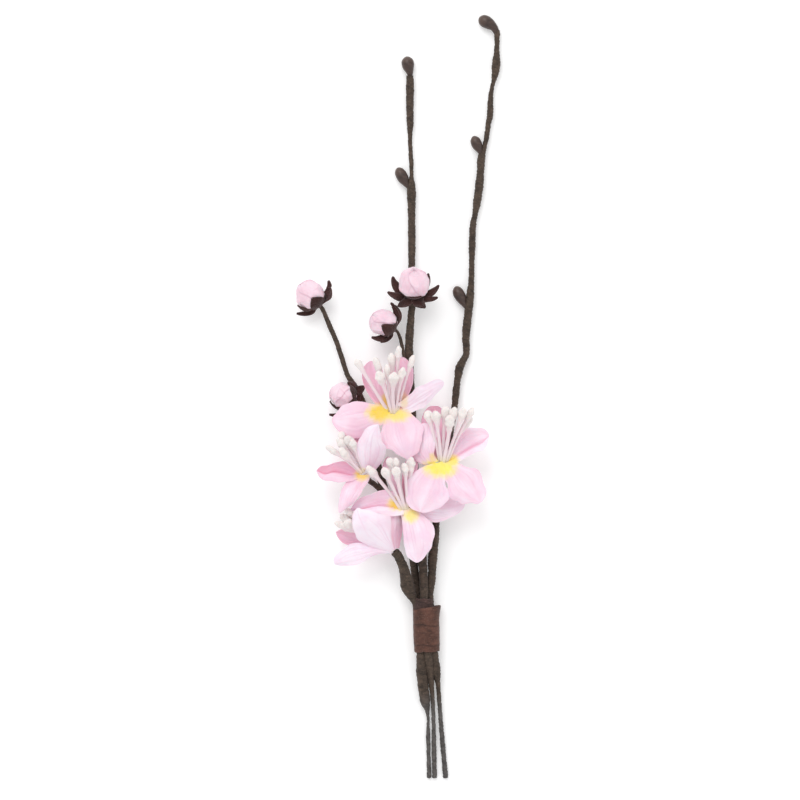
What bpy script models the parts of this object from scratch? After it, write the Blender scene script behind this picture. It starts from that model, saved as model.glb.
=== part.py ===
# Paper cherry blossom sprig, lying down: two long twigs, a bud branch, five open
# flowers and four closed buds, bound together with tape above three cut wire tails.
# Lengths below are millimetres; X is across the sprig, Y runs from the tails to the
# twig tips and Z is up.  The finished meshes are in metres.
import bpy
import math
import numpy as np

MM = 0.001
PETAL_THICK = 0.45       # glued paper petal
PETAL_CLAW = 0.17        # width at the foot of a petal, as a share of its full width
PETAL_WIDEST = 0.60      # where along the petal it is widest
PETAL_FOOT = 2.05        # distance from the flower's axis to the foot of a petal
PLUG_RADIUS = 1.35       # wound foot of a stamen bundle
PLUG_HEIGHT = 1.3
THREAD_RADIUS = 0.42     # stiffened stamen thread
HEAD_RADIUS = 1.15       # pip head of a stamen
HEAD_HALF = 1.9
CALYX_GAP = 0.35         # between a bud and its calyx
CALYX_THICK = 0.5
TIP_NECK = 0.45          # neck radius of a closed leaf bud
BINDING_WALL = 0.45      # layered binding tape

# Wire stems wrapped in tape: (x, y, z, radius) along each one, from its upper end down.
TWIG_LEFT = [(3.1, 108.9, 2.2, 0.75), (3.5, 106.7, 2.2, 1.15), (3.3, 101.3, 2.1, 1.1),
             (3.3, 95.7, 2.1, 1.2), (3.4, 88.3, 2.0, 0.87), (3.7, 81.7, 2.0, 0.77),
             (3.8, 76.0, 2.0, 0.75), (3.7, 68.3, 2.2, 1.3), (3.8, 60.0, 2.3, 1.15),
             (4.0, 53.3, 2.4, 1.15), (3.9, 44.7, 2.5, 1.15), (4.1, 28.3, 2.6, 1.15),
             (4.5, 13.3, 2.7, 1.15), (4.7, 3.7, 2.9, 1.1), (4.6, -5.0, 3.2, 1.1),
             (4.8, -16.7, 3.7, 1.15), (5.4, -30.0, 4.2, 1.15), (6.4, -41.7, 4.5, 1.15),
             (7.5, -54.0, 4.6, 1.15), (8.4, -65.7, 4.6, 1.15), (8.8, -70.0, 4.6, 1.15),
             (9.1, -84.0, 4.6, 1.15), (10.2, -92.0, 3.6, 0.9), (10.8, -98.0, 2.8, 0.65),
             (11.2, -107.0, 1.9, 0.68), (11.4, -118.0, 1.1, 0.75), (11.6, -126.6, 0.8, 0.8)]
TWIG_RIGHT = [(32.0, 123.4, 2.2, 0.8), (32.5, 121.3, 2.2, 0.82), (32.2, 117.0, 2.2, 0.9),
              (31.9, 111.7, 2.2, 1.4), (31.5, 108.0, 2.1, 1.0), (30.9, 105.0, 2.0, 0.75),
              (30.4, 99.0, 2.0, 0.9), (30.1, 95.0, 2.0, 1.1), (29.4, 91.7, 2.0, 0.9),
              (29.0, 87.7, 2.0, 0.9), (28.2, 83.3, 2.0, 0.95), (27.2, 75.0, 2.0, 1.05),
              (26.2, 66.7, 2.0, 1.1), (25.3, 59.3, 2.0, 1.1), (24.5, 53.3, 2.0, 1.15),
              (24.1, 46.3, 2.0, 1.05), (23.8, 39.3, 2.0, 1.05), (22.9, 30.0, 2.1, 1.45),
              (22.0, 20.7, 2.2, 1.25), (22.0, 15.0, 2.3, 1.15), (20.1, 11.3, 2.4, 1.3),
              (19.2, 6.7, 2.5, 1.15), (18.2, -2.3, 2.6, 1.05), (16.7, -11.7, 2.8, 1.05),
              (15.0, -21.7, 3.0, 1.05), (13.3, -31.7, 3.2, 1.05), (12.0, -41.7, 3.4, 1.0),
              (11.5, -47.7, 3.6, 1.05), (11.2, -53.3, 3.7, 1.1), (11.1, -65.0, 3.75, 1.05),
              (11.15, -70.0, 3.75, 1.1), (11.5, -84.0, 3.75, 1.1), (12.6, -93.7, 2.7, 0.85),
              (13.1, -100.3, 2.0, 0.7), (13.9, -110.7, 1.3, 0.75), (15.3, -126.6, 0.9, 0.85)]
BUD_BRANCH = [(-26.3, 31.0, 4.0, 0.75), (-23.3, 24.3, 3.9, 0.8), (-21.3, 19.7, 3.8, 0.83),
              (-19.3, 13.7, 3.4, 0.83), (-17.2, 7.7, 2.9, 0.85), (-15.6, 5.3, 2.7, 1.05),
              (-14.2, 3.0, 2.6, 1.15), (-12.0, -1.7, 2.8, 1.0), (-10.3, -8.3, 3.2, 1.05),
              (-9.0, -15.0, 3.5, 1.1), (-7.3, -22.7, 3.7, 1.3), (-5.8, -28.0, 3.8, 1.45),
              (-4.0, -35.0, 3.7, 1.3), (-1.7, -43.3, 3.3, 1.1), (1.0, -50.0, 2.7, 0.9),
              (3.7, -56.0, 2.2, 0.85), (5.6, -62.0, 1.9, 0.8), (6.9, -67.0, 1.8, 0.75),
              (7.55, -70.0, 1.75, 0.75), (7.75, -81.0, 1.75, 0.75)]
UPPER_BUD_STEM = [(4.4, 33.5, 6.5, 1.1), (3.9, 30.0, 6.1, 1.2), (3.5, 25.3, 5.8, 1.35),
                  (3.0, 17.0, 5.6, 1.3), (3.2, 11.7, 5.6, 1.2), (3.9, 5.0, 5.9, 0.8)]
LOWER_BUD_STEM = [(-0.85, 22.9, 7.2, 0.5), (-0.2, 21.3, 7.0, 0.55), (0.45, 19.0, 6.7, 0.6),
                  (1.0, 15.2, 6.2, 0.6)]
TOP_STEM = [(-2.95, -4.85, 11.5, 1.8), (-2.85, -6.4, 10.6, 1.2), (-2.4, -9.0, 8.8, 0.85),
            (0.4, -13.6, 7.0, 0.8), (3.6, -19.0, 6.4, 0.8), (5.2, -27.0, 6.5, 0.7)]
RIGHT_STEM = [(13.65, -21.15, 12.5, 1.8), (13.55, -22.75, 11.6, 1.2), (13.5, -25.3, 9.6, 0.85),
              (13.6, -28.5, 7.2, 0.8), (13.4, -32.5, 5.6, 0.8), (13.1, -36.5, 5.4, 0.8),
              (12.3, -41.7, 5.6, 0.75), (11.7, -48.5, 5.8, 0.65)]
LEFT_STEM = [(-11.85, -24.45, 11.5, 1.8), (-11.05, -25.8, 10.6, 1.2), (-10.2, -27.0, 9.2, 0.9),
             (-8.6, -28.0, 7.3, 0.9), (-5.6, -31.5, 6.5, 0.8), (-4.0, -36.0, 6.2, 0.6)]
MIDDLE_STEM = [(1.95, -36.85, 11.5, 1.8), (2.4, -38.4, 10.6, 1.2), (2.9, -40.6, 9.0, 0.85),
               (3.6, -44.0, 6.2, 0.8), (5.3, -51.7, 3.1, 0.75), (7.0, -59.0, 2.2, 0.75),
               (8.4, -65.7, 1.9, 0.75), (9.75, -70.0, 1.9, 0.75), (9.95, -81.0, 1.9, 0.75)]
LOW_STEM = [(-1.15, -50.55, 9.3, 1.8), (0.0, -52.0, 8.9, 1.6), (0.4, -55.5, 7.6, 1.65),
            (2.0, -60.4, 6.0, 1.55), (4.5, -65.2, 4.6, 1.25), (6.2, -68.0, 4.0, 1.15),
            (6.5, -70.0, 3.8, 1.15), (6.9, -84.0, 3.7, 1.15), (7.5, -93.0, 3.2, 1.5),
            (8.4, -99.5, 2.4, 1.15), (9.1, -104.0, 1.7, 0.75), (9.4, -113.0, 1.2, 0.7),
            (9.6, -120.7, 0.9, 0.65), (9.8, -126.6, 0.75, 0.75)]
BINDING_PATH = [(8.65, -69.2, 3.35, 1.0), (8.75, -74.0, 3.35, 0.99), (8.85, -79.0, 3.35, 0.98),
                (9.0, -84.0, 3.35, 0.97)]
BINDING_HALF = (4.35, 3.2)   # outer half width and half depth of the bound bundle

# Open flowers.  centre and axis, then for each petal: tip, opening angle from the axis
# at its foot, width, cupping and roll (degrees); heads are the pip heads of the stamens.
FLOWERS = {
    "top_flower": dict(
        centre=(-3.0, -4.0, 12.0), axis=(-0.06, 0.86, 0.50),
        petals=dict(
            front=((0.7, -19.7, 14.0), 55, 13.0, -15, 0),
            left=((-22.7, -7.0, 14.0), 75, 12.0, -20, -45),
            right=((13.7, 6.3, 17.0), 55, 8.0, 25, 40),
            back_left=((-11.3, 12.7, 9.5), 50, 9.5, 35, 0),
            back_right=((1.3, 14.3, 9.0), 50, 9.0, 45, 50)),
        heads=[(-13.7, 12.0, 17.0), (-7.7, 12.0, 17.5), (-6.8, 7.7, 19.6), (-4.0, 10.0, 18.2),
               (-2.8, 13.5, 16.0), (-1.8, 7.3, 20.4), (-0.5, 16.2, 17.5), (0.8, 9.0, 18.8),
               (4.0, 12.8, 17.0)]),
    "right_flower": dict(
        centre=(13.7, -20.3, 13.0), axis=(0.05, 0.87, 0.48),
        petals=dict(
            front_left=((6.7, -35.7, 14.0), 60, 15.0, -15, 5),
            front_right=((25.7, -33.0, 15.5), 60, 13.5, -15, 0),
            left=((6.0, -8.6, 17.5), 50, 9.0, -20, -40),
            back=((10.3, -1.7, 7.0), 45, 6.5, 30, 0),
            right=((29.0, -12.0, 10.0), 60, 9.0, 25, 30)),
        heads=[(9.3, -5.2, 17.0), (11.8, -5.3, 19.6), (15.0, -3.8, 18.0), (16.2, -7.0, 20.6),
               (17.8, -4.3, 18.4), (20.5, -4.5, 19.6), (23.3, -4.2, 17.8), (22.7, -7.6, 15.2)]),
    "left_flower": dict(
        centre=(-12.3, -23.7, 12.0), axis=(-0.45, 0.75, 0.50),
        petals=dict(
            upper_right=((-10.0, -7.7, 21.0), 45, 9.5, 20, 70),
            lower=((-18.2, -37.7, 14.5), 60, 7.5, -20, 0),
            left=((-27.7, -24.3, 10.0), 60, 8.0, 30, 0),
            back_left=((-21.2, -13.0, 6.5), 50, 6.5, 30, 0),
            back_right=((-11.0, -10.6, 6.8), 50, 5.5, 30, 0)),
        heads=[(-22.8, -16.5, 16.0), (-19.8, -14.2, 15.8), (-18.5, -17.3, 18.5), (-19.0, -12.2, 14.5),
               (-16.7, -13.7, 16.6), (-15.2, -14.5, 18.8)]),
    "middle_flower": dict(
        centre=(1.7, -36.0, 12.0), axis=(-0.25, 0.85, 0.45),
        petals=dict(
            front=((7.0, -53.7, 14.0), 60, 11.0, -15, 0),
            right=((20.0, -37.5, 8.8), 70, 9.5, -15, 45),
            left=((-16.0, -35.7, 10.0), 60, 7.5, 30, -40),
            back_left=((-5.2, -22.5, 8.0), 45, 6.5, 30, 0),
            back_right=((4.8, -21.3, 9.6), 45, 5.5, 30, 0)),
        heads=[(-9.8, -23.3, 16.0), (-4.7, -23.7, 18.4), (-3.2, -21.0, 16.0), (-1.2, -20.7, 17.2),
               (-1.0, -23.7, 19.6), (1.5, -22.5, 18.4), (3.7, -21.0, 15.6)]),
    "low_flower": dict(
        centre=(-2.0, -50.0, 9.4), axis=(-0.83, 0.54, 0.10),
        petals=dict(
            upper=((-13.7, -36.2, 20.0), 60, 14.0, 20, 0),
            lower=((-22.0, -54.3, 12.0), 50, 8.0, 15, 40),
            back=((-21.3, -43.7, 4.5), 40, 7.0, 20, 0),
            top=((-1.9, -39.6, 9.6), 80, 5.5, 20, 0),
            under=((-8.9, -40.8, 1.3), 50, 7.0, 20, 0)),
        heads=[(-19.8, -41.5, 12.0), (-18.2, -39.2, 10.5), (-16.7, -37.2, 11.5), (-16.7, -40.8, 13.5),
               (-17.8, -42.3, 9.0), (-16.3, -39.0, 8.0)]),
}
STEM_OF = {"top_flower": TOP_STEM, "right_flower": RIGHT_STEM, "left_flower": LEFT_STEM,
           "middle_flower": MIDDLE_STEM, "low_flower": LOW_STEM}

# Closed buds: centre, radius, axis, then for the calyx the number of sepals, their reach
# round the bud (degrees), how far they flare off it and the turn of the first one.
BUDS = {
    "far_left_bud": ((-30.0, 35.0, 5.6), 4.2, (-0.62, 0.70, 0.25), 5, 118, 22, 20),
    "near_left_bud": ((-19.4, 1.2, 5.6), 3.8, (-0.95, -0.20, 0.10), 5, 122, 26, 60),
    "upper_bud": ((4.6, 38.8, 10.2), 4.8, (0.02, 0.84, 0.54), 7, 112, 62, 10),
    "lower_bud": ((-5.3, 26.0, 8.8), 4.2, (-0.80, 0.52, 0.30), 5, 120, 26, 15),
}

# Closed brown leaf buds: centre, radius, half length and the direction from neck to tip.
LEAF_BUDS = {
    "left_twig_tip_bud": ((2.7, 111.8, 2.05), 2.0, 2.7, (-0.20, 1.0, 0.0)),
    "right_twig_tip_bud": ((28.9, 125.7, 2.2), 2.15, 3.5, (-0.85, 0.42, 0.0)),
    "left_twig_side_bud": ((0.5, 74.9, 2.1), 1.9, 3.1, (-0.45, 0.85, 0.0)),
    "right_twig_upper_side_bud": ((25.6, 85.7, 2.1), 1.75, 2.8, (-0.40, 0.9, 0.0)),
    "right_twig_lower_side_bud": ((20.0, 34.9, 2.2), 1.85, 3.4, (-0.42, 0.9, 0.0)),
}

COLOURS = {
    "petal": ((0.94, 0.72, 0.80), 0.75),
    "stamen": ((0.88, 0.83, 0.78), 0.55),
    "bud": ((0.90, 0.68, 0.76), 0.8),
    "calyx": ((0.075, 0.032, 0.030), 0.9),
    "leaf_bud": ((0.085, 0.050, 0.042), 0.6),
    "stem_tape": ((0.085, 0.055, 0.038), 0.85),
    "binding_tape": ((0.135, 0.052, 0.034), 0.85),
}


def unit(v):
    v = np.asarray(v, float)
    return v / np.linalg.norm(v)


def basis(axis):
    """Axis, its front direction (as near straight up as it can be) and its side."""
    a = unit(axis)
    front = unit(np.array([0.0, 0.0, 1.0]) - a[2] * a)
    return a, front, np.cross(a, front)


def spline(points, count):
    """Smooth run through (x, y, z, r) points at even spacing."""
    p = np.asarray(points, float)
    d = np.concatenate([[0.0], np.cumsum(np.linalg.norm(np.diff(p[:, :3], axis=0), axis=1))])
    m = np.gradient(p, d, axis=0)
    t = np.linspace(0.0, d[-1], count)
    i = np.clip(np.searchsorted(d, t, "right") - 1, 0, len(d) - 2)
    h = (d[i + 1] - d[i])[:, None]
    x = (t - d[i])[:, None] / h
    return ((2 * x**3 - 3 * x**2 + 1) * p[i] + (x**3 - 2 * x**2 + x) * h * m[i]
            + (3 * x**2 - 2 * x**3) * p[i + 1] + (x**3 - x**2) * h * m[i + 1])


def grid_faces(rows, cols, start=0, wrap=False, flip=False):
    """Quads of a grid of vertices numbered row by row."""
    faces = []
    for i in range(rows - 1):
        for j in range(cols if wrap else cols - 1):
            k = (j + 1) % cols
            quad = [start + i * cols + j, start + i * cols + k, start + (i + 1) * cols + k,
                start + (i + 1) * cols + j]
            faces.append(quad[::-1] if flip else quad)
    return faces


def material(slot):
    found = bpy.data.materials.get(slot)
    if found:
        return found
    mat = bpy.data.materials.new(slot)
    mat.use_nodes = True
    colour, rough = COLOURS[slot]
    shader = mat.node_tree.nodes["Principled BSDF"]
    shader.inputs["Base Color"].default_value = (*colour, 1.0)
    shader.inputs["Roughness"].default_value = rough
    mat.diffuse_color = (*colour, 1.0)
    return mat


def add_body(name, verts, faces, slot):
    """One closed body, turned to face outward, smooth shaded."""
    verts = np.asarray(verts, float)
    volume = 0.0
    for face in faces:
        for k in range(1, len(face) - 1):
            volume += np.dot(verts[face[0]], np.cross(verts[face[k]], verts[face[k + 1]]))
    if volume < 0:
        faces = [list(face)[::-1] for face in faces]
    mesh = bpy.data.meshes.new(name)
    mesh.from_pydata((verts * MM).tolist(), [], [list(face) for face in faces])
    mesh.materials.append(material(slot))
    for polygon in mesh.polygons:
        polygon.use_smooth = True
    obj = bpy.data.objects.new(name, mesh)
    bpy.context.scene.collection.objects.link(obj)
    return obj


def tube(name, points, slot, spacing=6.5, sides=8):
    """Round bar of changing radius along a route, with domed ends."""
    length = np.linalg.norm(np.diff(np.asarray(points)[:, :3], axis=0), axis=1).sum()
    q = spline(points, max(5, int(length / spacing) + 1))
    path, r = q[:, :3], np.maximum(q[:, 3], 0.4)
    t = np.gradient(path, axis=0)
    t /= np.linalg.norm(t, axis=1)[:, None]
    n = np.array([0.0, 0.0, 1.0]) - t * t[:, 2:3]
    n /= np.linalg.norm(n, axis=1)[:, None]
    b = np.cross(t, n)
    ang = 2 * np.pi * (np.arange(sides) + 0.5) / sides
    ring = np.cos(ang)[None, :, None] * n[:, None] + np.sin(ang)[None, :, None] * b[:, None]
    verts = (path[:, None] + r[:, None, None] * ring).reshape(-1, 3)
    rows = len(path)
    first, last = rows * sides, rows * sides + 1
    verts = np.vstack([verts, path[0] - t[0] * r[0] * 0.25, path[-1] + t[-1] * r[-1] * 0.05])
    faces = grid_faces(rows, sides, wrap=True)
    for j in range(sides):
        k = (j + 1) % sides
        faces.append([first, k, j])
        faces.append([last, (rows - 1) * sides + j, (rows - 1) * sides + k])
    return add_body(name, verts, faces, slot)


def sheet(name, mid, thick, slot):
    """Closed sheet of even thickness about a grid of points (rows x cols x 3)."""
    rows, cols = mid.shape[:2]
    du, dv = np.gradient(mid, axis=0), np.gradient(mid, axis=1)
    n = np.cross(du, dv)
    n /= np.linalg.norm(n, axis=2)[..., None]
    count = rows * cols
    verts = np.vstack([(mid + n * thick / 2).reshape(-1, 3), (mid - n * thick / 2).reshape(-1, 3)])
    faces = grid_faces(rows, cols) + grid_faces(rows, cols, count, flip=True)
    edge = [i * cols for i in range(rows)] + [(rows - 1) * cols + j for j in range(1, cols)]
    edge += [i * cols + cols - 1 for i in range(rows - 2, -1, -1)] + [j for j in range(cols - 2, 0, -1)]
    for i, j in zip(edge, edge[1:] + edge[:1]):
        faces.append([i, j, j + count, i + count])
    return add_body(name, verts, faces, slot)


def petal_surface(centre, axis, tip, opening, width, cup, roll, rows=8, cols=5):
    """Petal: a foot beside the axis, a midrib bowed out to the tip, a rounded outline."""
    a, front, side = basis(axis)
    centre, tip = np.asarray(centre, float), np.asarray(tip, float)
    out = tip - centre
    er = unit(out - np.dot(out, a) * a)
    et = np.cross(a, er)
    foot = centre + PETAL_FOOT * er
    lean = math.radians(opening)
    bow = foot + (math.sin(lean) * er + math.cos(lean) * a) * np.linalg.norm(tip - foot) * 0.45
    f = np.linspace(0, 1, 201)[:, None]
    curve = (1 - f) ** 2 * foot + 2 * f * (1 - f) * bow + f**2 * tip
    arc = np.concatenate([[0.0], np.cumsum(np.linalg.norm(np.diff(curve, axis=0), axis=1))])
    u = 1 - (1 - np.linspace(0, 1, rows)) ** 1.3
    v = np.linspace(-1, 1, cols)
    slope = np.gradient(curve, axis=0)
    mid = np.stack([np.interp(u * arc[-1], arc, curve[:, k]) for k in range(3)], axis=1)
    t = np.stack([np.interp(u * arc[-1], arc, slope[:, k]) for k in range(3)], axis=1)
    t /= np.linalg.norm(t, axis=1)[:, None]
    n = np.cross(t, et)
    n /= np.linalg.norm(n, axis=1)[:, None]
    turn = np.radians(roll) * np.sin(np.pi / 2 * np.clip(u / 0.45, 0, 1))
    across = np.cos(turn)[:, None] * et + np.sin(turn)[:, None] * n
    n = np.cos(turn)[:, None] * n - np.sin(turn)[:, None] * et
    swell = PETAL_CLAW + (1 - PETAL_CLAW) * np.sin(np.pi / 2 * np.clip(u / PETAL_WIDEST, 0, 1)) ** 1.25
    close = np.sqrt(np.clip(1 - np.clip((u - PETAL_WIDEST) / (1 - PETAL_WIDEST), 0, 1) ** 2.2, 0.025, 1))
    half = width / 2 * swell * close
    bend = math.radians(abs(cup)) * (0.35 + 0.65 * np.sin(np.pi * u))
    x = np.sin(bend[:, None] * v) / bend[:, None] * half[:, None]
    h = (1 - np.cos(bend[:, None] * v)) / bend[:, None] * half[:, None] * np.sign(cup)
    return mid[:, None] + x[..., None] * across[:, None] + h[..., None] * n[:, None]


def stamens(name, centre, axis, heads):
    """Bundle of pip-headed threads standing on one wound foot, as a single body."""
    a, front, side = basis(axis)
    centre = np.asarray(centre, float)
    heads = np.asarray(heads, float)
    base = centre + a * PLUG_HEIGHT
    out = heads - base
    azimuth = np.arctan2(out @ side, out @ front)
    heads = heads[np.argsort(azimuth)]
    azimuth = np.sort(azimuth)
    count = len(heads)
    spread = 2 * np.pi * np.arange(count) / count
    turn = math.atan2(np.sin(azimuth - spread).sum(), np.cos(azimuth - spread).sum())
    # the top of the foot is a ring of six-sided cells; every second cell grows into a thread
    cells = 2 * count
    steps = 2 * cells
    ang = turn + 2 * np.pi * (np.arange(steps) - 1) / steps
    spoke = np.cos(ang)[:, None] * front + np.sin(ang)[:, None] * side
    rings = [(0.50, PLUG_HEIGHT), (1.05, PLUG_HEIGHT), (PLUG_RADIUS, PLUG_HEIGHT - 0.25),
             (PLUG_RADIUS, 0.1),
             (PLUG_RADIUS * 0.75, -0.15)]
    verts = np.vstack([centre + a * z + r * spoke for r, z in rings])
    faces = [list(range(steps)), [4 * steps + j for j in range(steps)][::-1]]
    faces += grid_faces(4, steps, steps, wrap=True, flip=True)
    for c in range(cells):
        p = [(2 * c + k) % steps for k in range(3)]
        cell = [p[0], p[1], p[2], steps + p[2], steps + p[1], steps + p[0]]
        if c % 2:
            faces.append(cell[::-1])
            continue
        head = heads[c // 2]
        middle = verts[cell].mean(axis=0)
        reach = np.linalg.norm(head - middle) + HEAD_HALF
        along = unit(head - middle)
        # keep each thread's corners in step with the corners of its cell
        first = verts[cell[0]] - middle
        e1 = unit(first - np.dot(first, along) * along)
        e2 = np.cross(along, e1)
        if np.dot(np.cross(verts[cell[0]] - middle, verts[cell[1]] - middle), along) < 0:
            e2 = -e2
        stations = [(0.35, THREAD_RADIUS), (0.78, THREAD_RADIUS)]
        for share, wide in ((0.0, 0.42), (0.22, 0.80), (0.55, 1.0), (0.85, 0.66)):
            stations.append((1 - (2 * HEAD_HALF) * (1 - share) / reach, HEAD_RADIUS * wide))
        previous = cell
        for share, radius in stations:
            if share < 0.8 and share * reach > reach - 2 * HEAD_HALF:
                continue
            start = len(verts)
            six = np.pi / 3 * np.arange(6)
            ring = middle + along * share * reach + radius * (np.cos(six)[:,
                None] * e1 + np.sin(six)[:, None] * e2)
            verts = np.vstack([verts, ring])
            now = list(range(start, start + 6))
            for k in range(6):
                m = (k + 1) % 6
                faces.append([previous[k], previous[m], now[m], now[k]][::-1])
            previous = now
        verts = np.vstack([verts, middle + along * reach])
        for k in range(6):
            faces.append([previous[k], previous[(k + 1) % 6], len(verts) - 1][::-1])
    return add_body(name, verts, faces, "stamen")


def turned(name, centre, axis, profile, slot, sides=12):
    """Body of revolution: profile is (height along the axis, radius), both ends at radius 0."""
    a, front, side = basis(axis)
    centre = np.asarray(centre, float)
    ang = 2 * np.pi * np.arange(sides) / sides
    spoke = np.cos(ang)[:, None] * front + np.sin(ang)[:, None] * side
    verts = np.vstack([centre + a * z + r * spoke for z, r in profile[1:-1]])
    rows = len(profile) - 2
    verts = np.vstack([verts, centre + a * profile[0][0], centre + a * profile[-1][0]])
    faces = grid_faces(rows, sides, wrap=True)
    low, high = rows * sides, rows * sides + 1
    for j in range(sides):
        k = (j + 1) % sides
        faces.append([low, k, j])
        faces.append([high, (rows - 1) * sides + j, (rows - 1) * sides + k])
    return add_body(name, verts, faces, slot)


def closed_bud(name, centre, radius, axis):
    """Ball of folded petals, drawn up to a small point at the top."""
    profile = []
    for k in range(9):
        lat = math.pi * k / 8
        peak = 0.14 * max(0.0, (-math.cos(lat) - 0.75) / 0.25)
        profile.append((radius * (-math.cos(lat) + peak), radius * math.sin(lat)))
    return turned(name, centre, axis, profile, "bud")


def calyx(name, centre, radius, axis, count, reach, flare, first):
    """Cup of pointed sepals under a bud: one closed sheet round the foot of the ball."""
    a, front, side = basis(axis)
    centre = np.asarray(centre, float)
    steps = 4 * count
    ang = 2 * np.pi * np.arange(steps) / steps + math.radians(first)
    spoke = np.cos(ang)[:, None] * front + np.sin(ang)[:, None] * side
    lobe = np.array([1.0, 0.62, 0.0, 0.62] * count)
    cup = 48.0
    verts = []
    for inner in (0, 1):
        for share in (0.30, 0.55, 0.78, 1.0):
            lat = np.radians(share * (cup + (reach - cup) * lobe))
            away = np.radians(flare) * np.clip((lat - math.radians(cup)) / math.radians(reach - cup),
                0, 1) ** 1.3
            r = radius + CALYX_GAP + (0.0 if inner else CALYX_THICK)
            lean = radius * 0.9 * np.sin(away)
            point = centre + r * (-np.cos(lat)[:, None] * a + np.sin(lat)[:, None] * spoke)
            verts.append(point + lean[:, None] * spoke)
    verts = np.vstack(verts)
    half = 4 * steps
    outer_pole, inner_pole = 2 * half, 2 * half + 1
    verts = np.vstack([verts, centre - a * (radius + CALYX_GAP + CALYX_THICK),
        centre - a * (radius + CALYX_GAP)])
    faces = grid_faces(4, steps, wrap=True) + grid_faces(4, steps, half, wrap=True, flip=True)
    for j in range(steps):
        k = (j + 1) % steps
        faces.append([outer_pole, k, j])
        faces.append([inner_pole, half + j, half + k])
        faces.append([3 * steps + j, 3 * steps + k, half + 3 * steps + k, half + 3 * steps + j])
    return add_body(name, verts, faces, "calyx")


def leaf_bud(name, centre, radius, half, direction):
    """Pear-shaped closed leaf bud, narrow at the neck."""
    profile = [(-half, 0.0), (-half * 0.97, TIP_NECK), (-half * 0.60, radius * 0.52),
               (-half * 0.15, radius * 0.90),
               (half * 0.30, radius), (half * 0.70, radius * 0.78), (half * 0.93, radius * 0.38),
                   (half, 0.0)]
    return turned(name, centre, direction, profile, "leaf_bud", sides=10)


def binding(name):
    """Oval sleeve of tape round the gathered stems, open at both ends."""
    q = spline(BINDING_PATH, 5)
    ang = 2 * np.pi * np.arange(20) / 20
    verts = []
    for wall in (0.0, BINDING_WALL):
        for x, y, z, scale in q:
            wide, deep = BINDING_HALF[0] * scale - wall, BINDING_HALF[1] * scale - wall
            verts += [(x + wide * math.cos(t), y, z + deep * math.sin(t)) for t in ang]
    half = 5 * 20
    faces = grid_faces(5, 20, wrap=True) + grid_faces(5, 20, half, wrap=True, flip=True)
    for j in range(20):
        k = (j + 1) % 20
        faces.append([j, half + j, half + k, k])
        faces.append([80 + j, 80 + k, half + 80 + k, half + 80 + j])
    return add_body(name, verts, faces, "binding_tape")


def build():
    for obj in list(bpy.data.objects):
        bpy.data.objects.remove(obj, do_unlink=True)
    tube("left_twig", TWIG_LEFT, "stem_tape")
    tube("right_twig", TWIG_RIGHT, "stem_tape")
    tube("bud_branch", BUD_BRANCH, "stem_tape")
    tube("upper_bud_stem", UPPER_BUD_STEM, "stem_tape")
    tube("lower_bud_stem", LOWER_BUD_STEM, "stem_tape", spacing=2.0)
    for flower, spec in FLOWERS.items():
        tube(flower + "_stem", STEM_OF[flower], "stem_tape", spacing=3.2)
        for petal, (tip, opening, width, cup, roll) in spec["petals"].items():
            mid = petal_surface(spec["centre"], spec["axis"], tip, opening, width, cup, roll)
            sheet(flower + "_petal_" + petal, mid, PETAL_THICK, "petal")
        stamens(flower + "_stamens", spec["centre"], spec["axis"], spec["heads"])
    for bud, (centre, radius, axis, count, reach, flare, first) in BUDS.items():
        closed_bud(bud, centre, radius, axis)
        calyx(bud + "_calyx", centre, radius, axis, count, reach, flare, first)
    for bud, (centre, radius, half, direction) in LEAF_BUDS.items():
        leaf_bud(bud, centre, radius, half, direction)
    binding("binding_tape")
    settle()


def settle():
    """Put the middle of the sprig's outline at the origin and its lowest point at height 0."""
    bpy.context.view_layer.update()
    corners = []
    for obj in bpy.data.objects:
        corners += [v.co[:] for v in obj.data.vertices]
    corners = np.array(corners)
    low, high = corners.min(axis=0), corners.max(axis=0)
    shift = np.array([(low[0] + high[0]) / 2, (low[1] + high[1]) / 2, low[2]])
    for obj in bpy.data.objects:
        co = np.empty(len(obj.data.vertices) * 3)
        obj.data.vertices.foreach_get("co", co)
        obj.data.vertices.foreach_set("co", (co.reshape(-1, 3) - shift).ravel())
        obj.data.update()


build()
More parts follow.
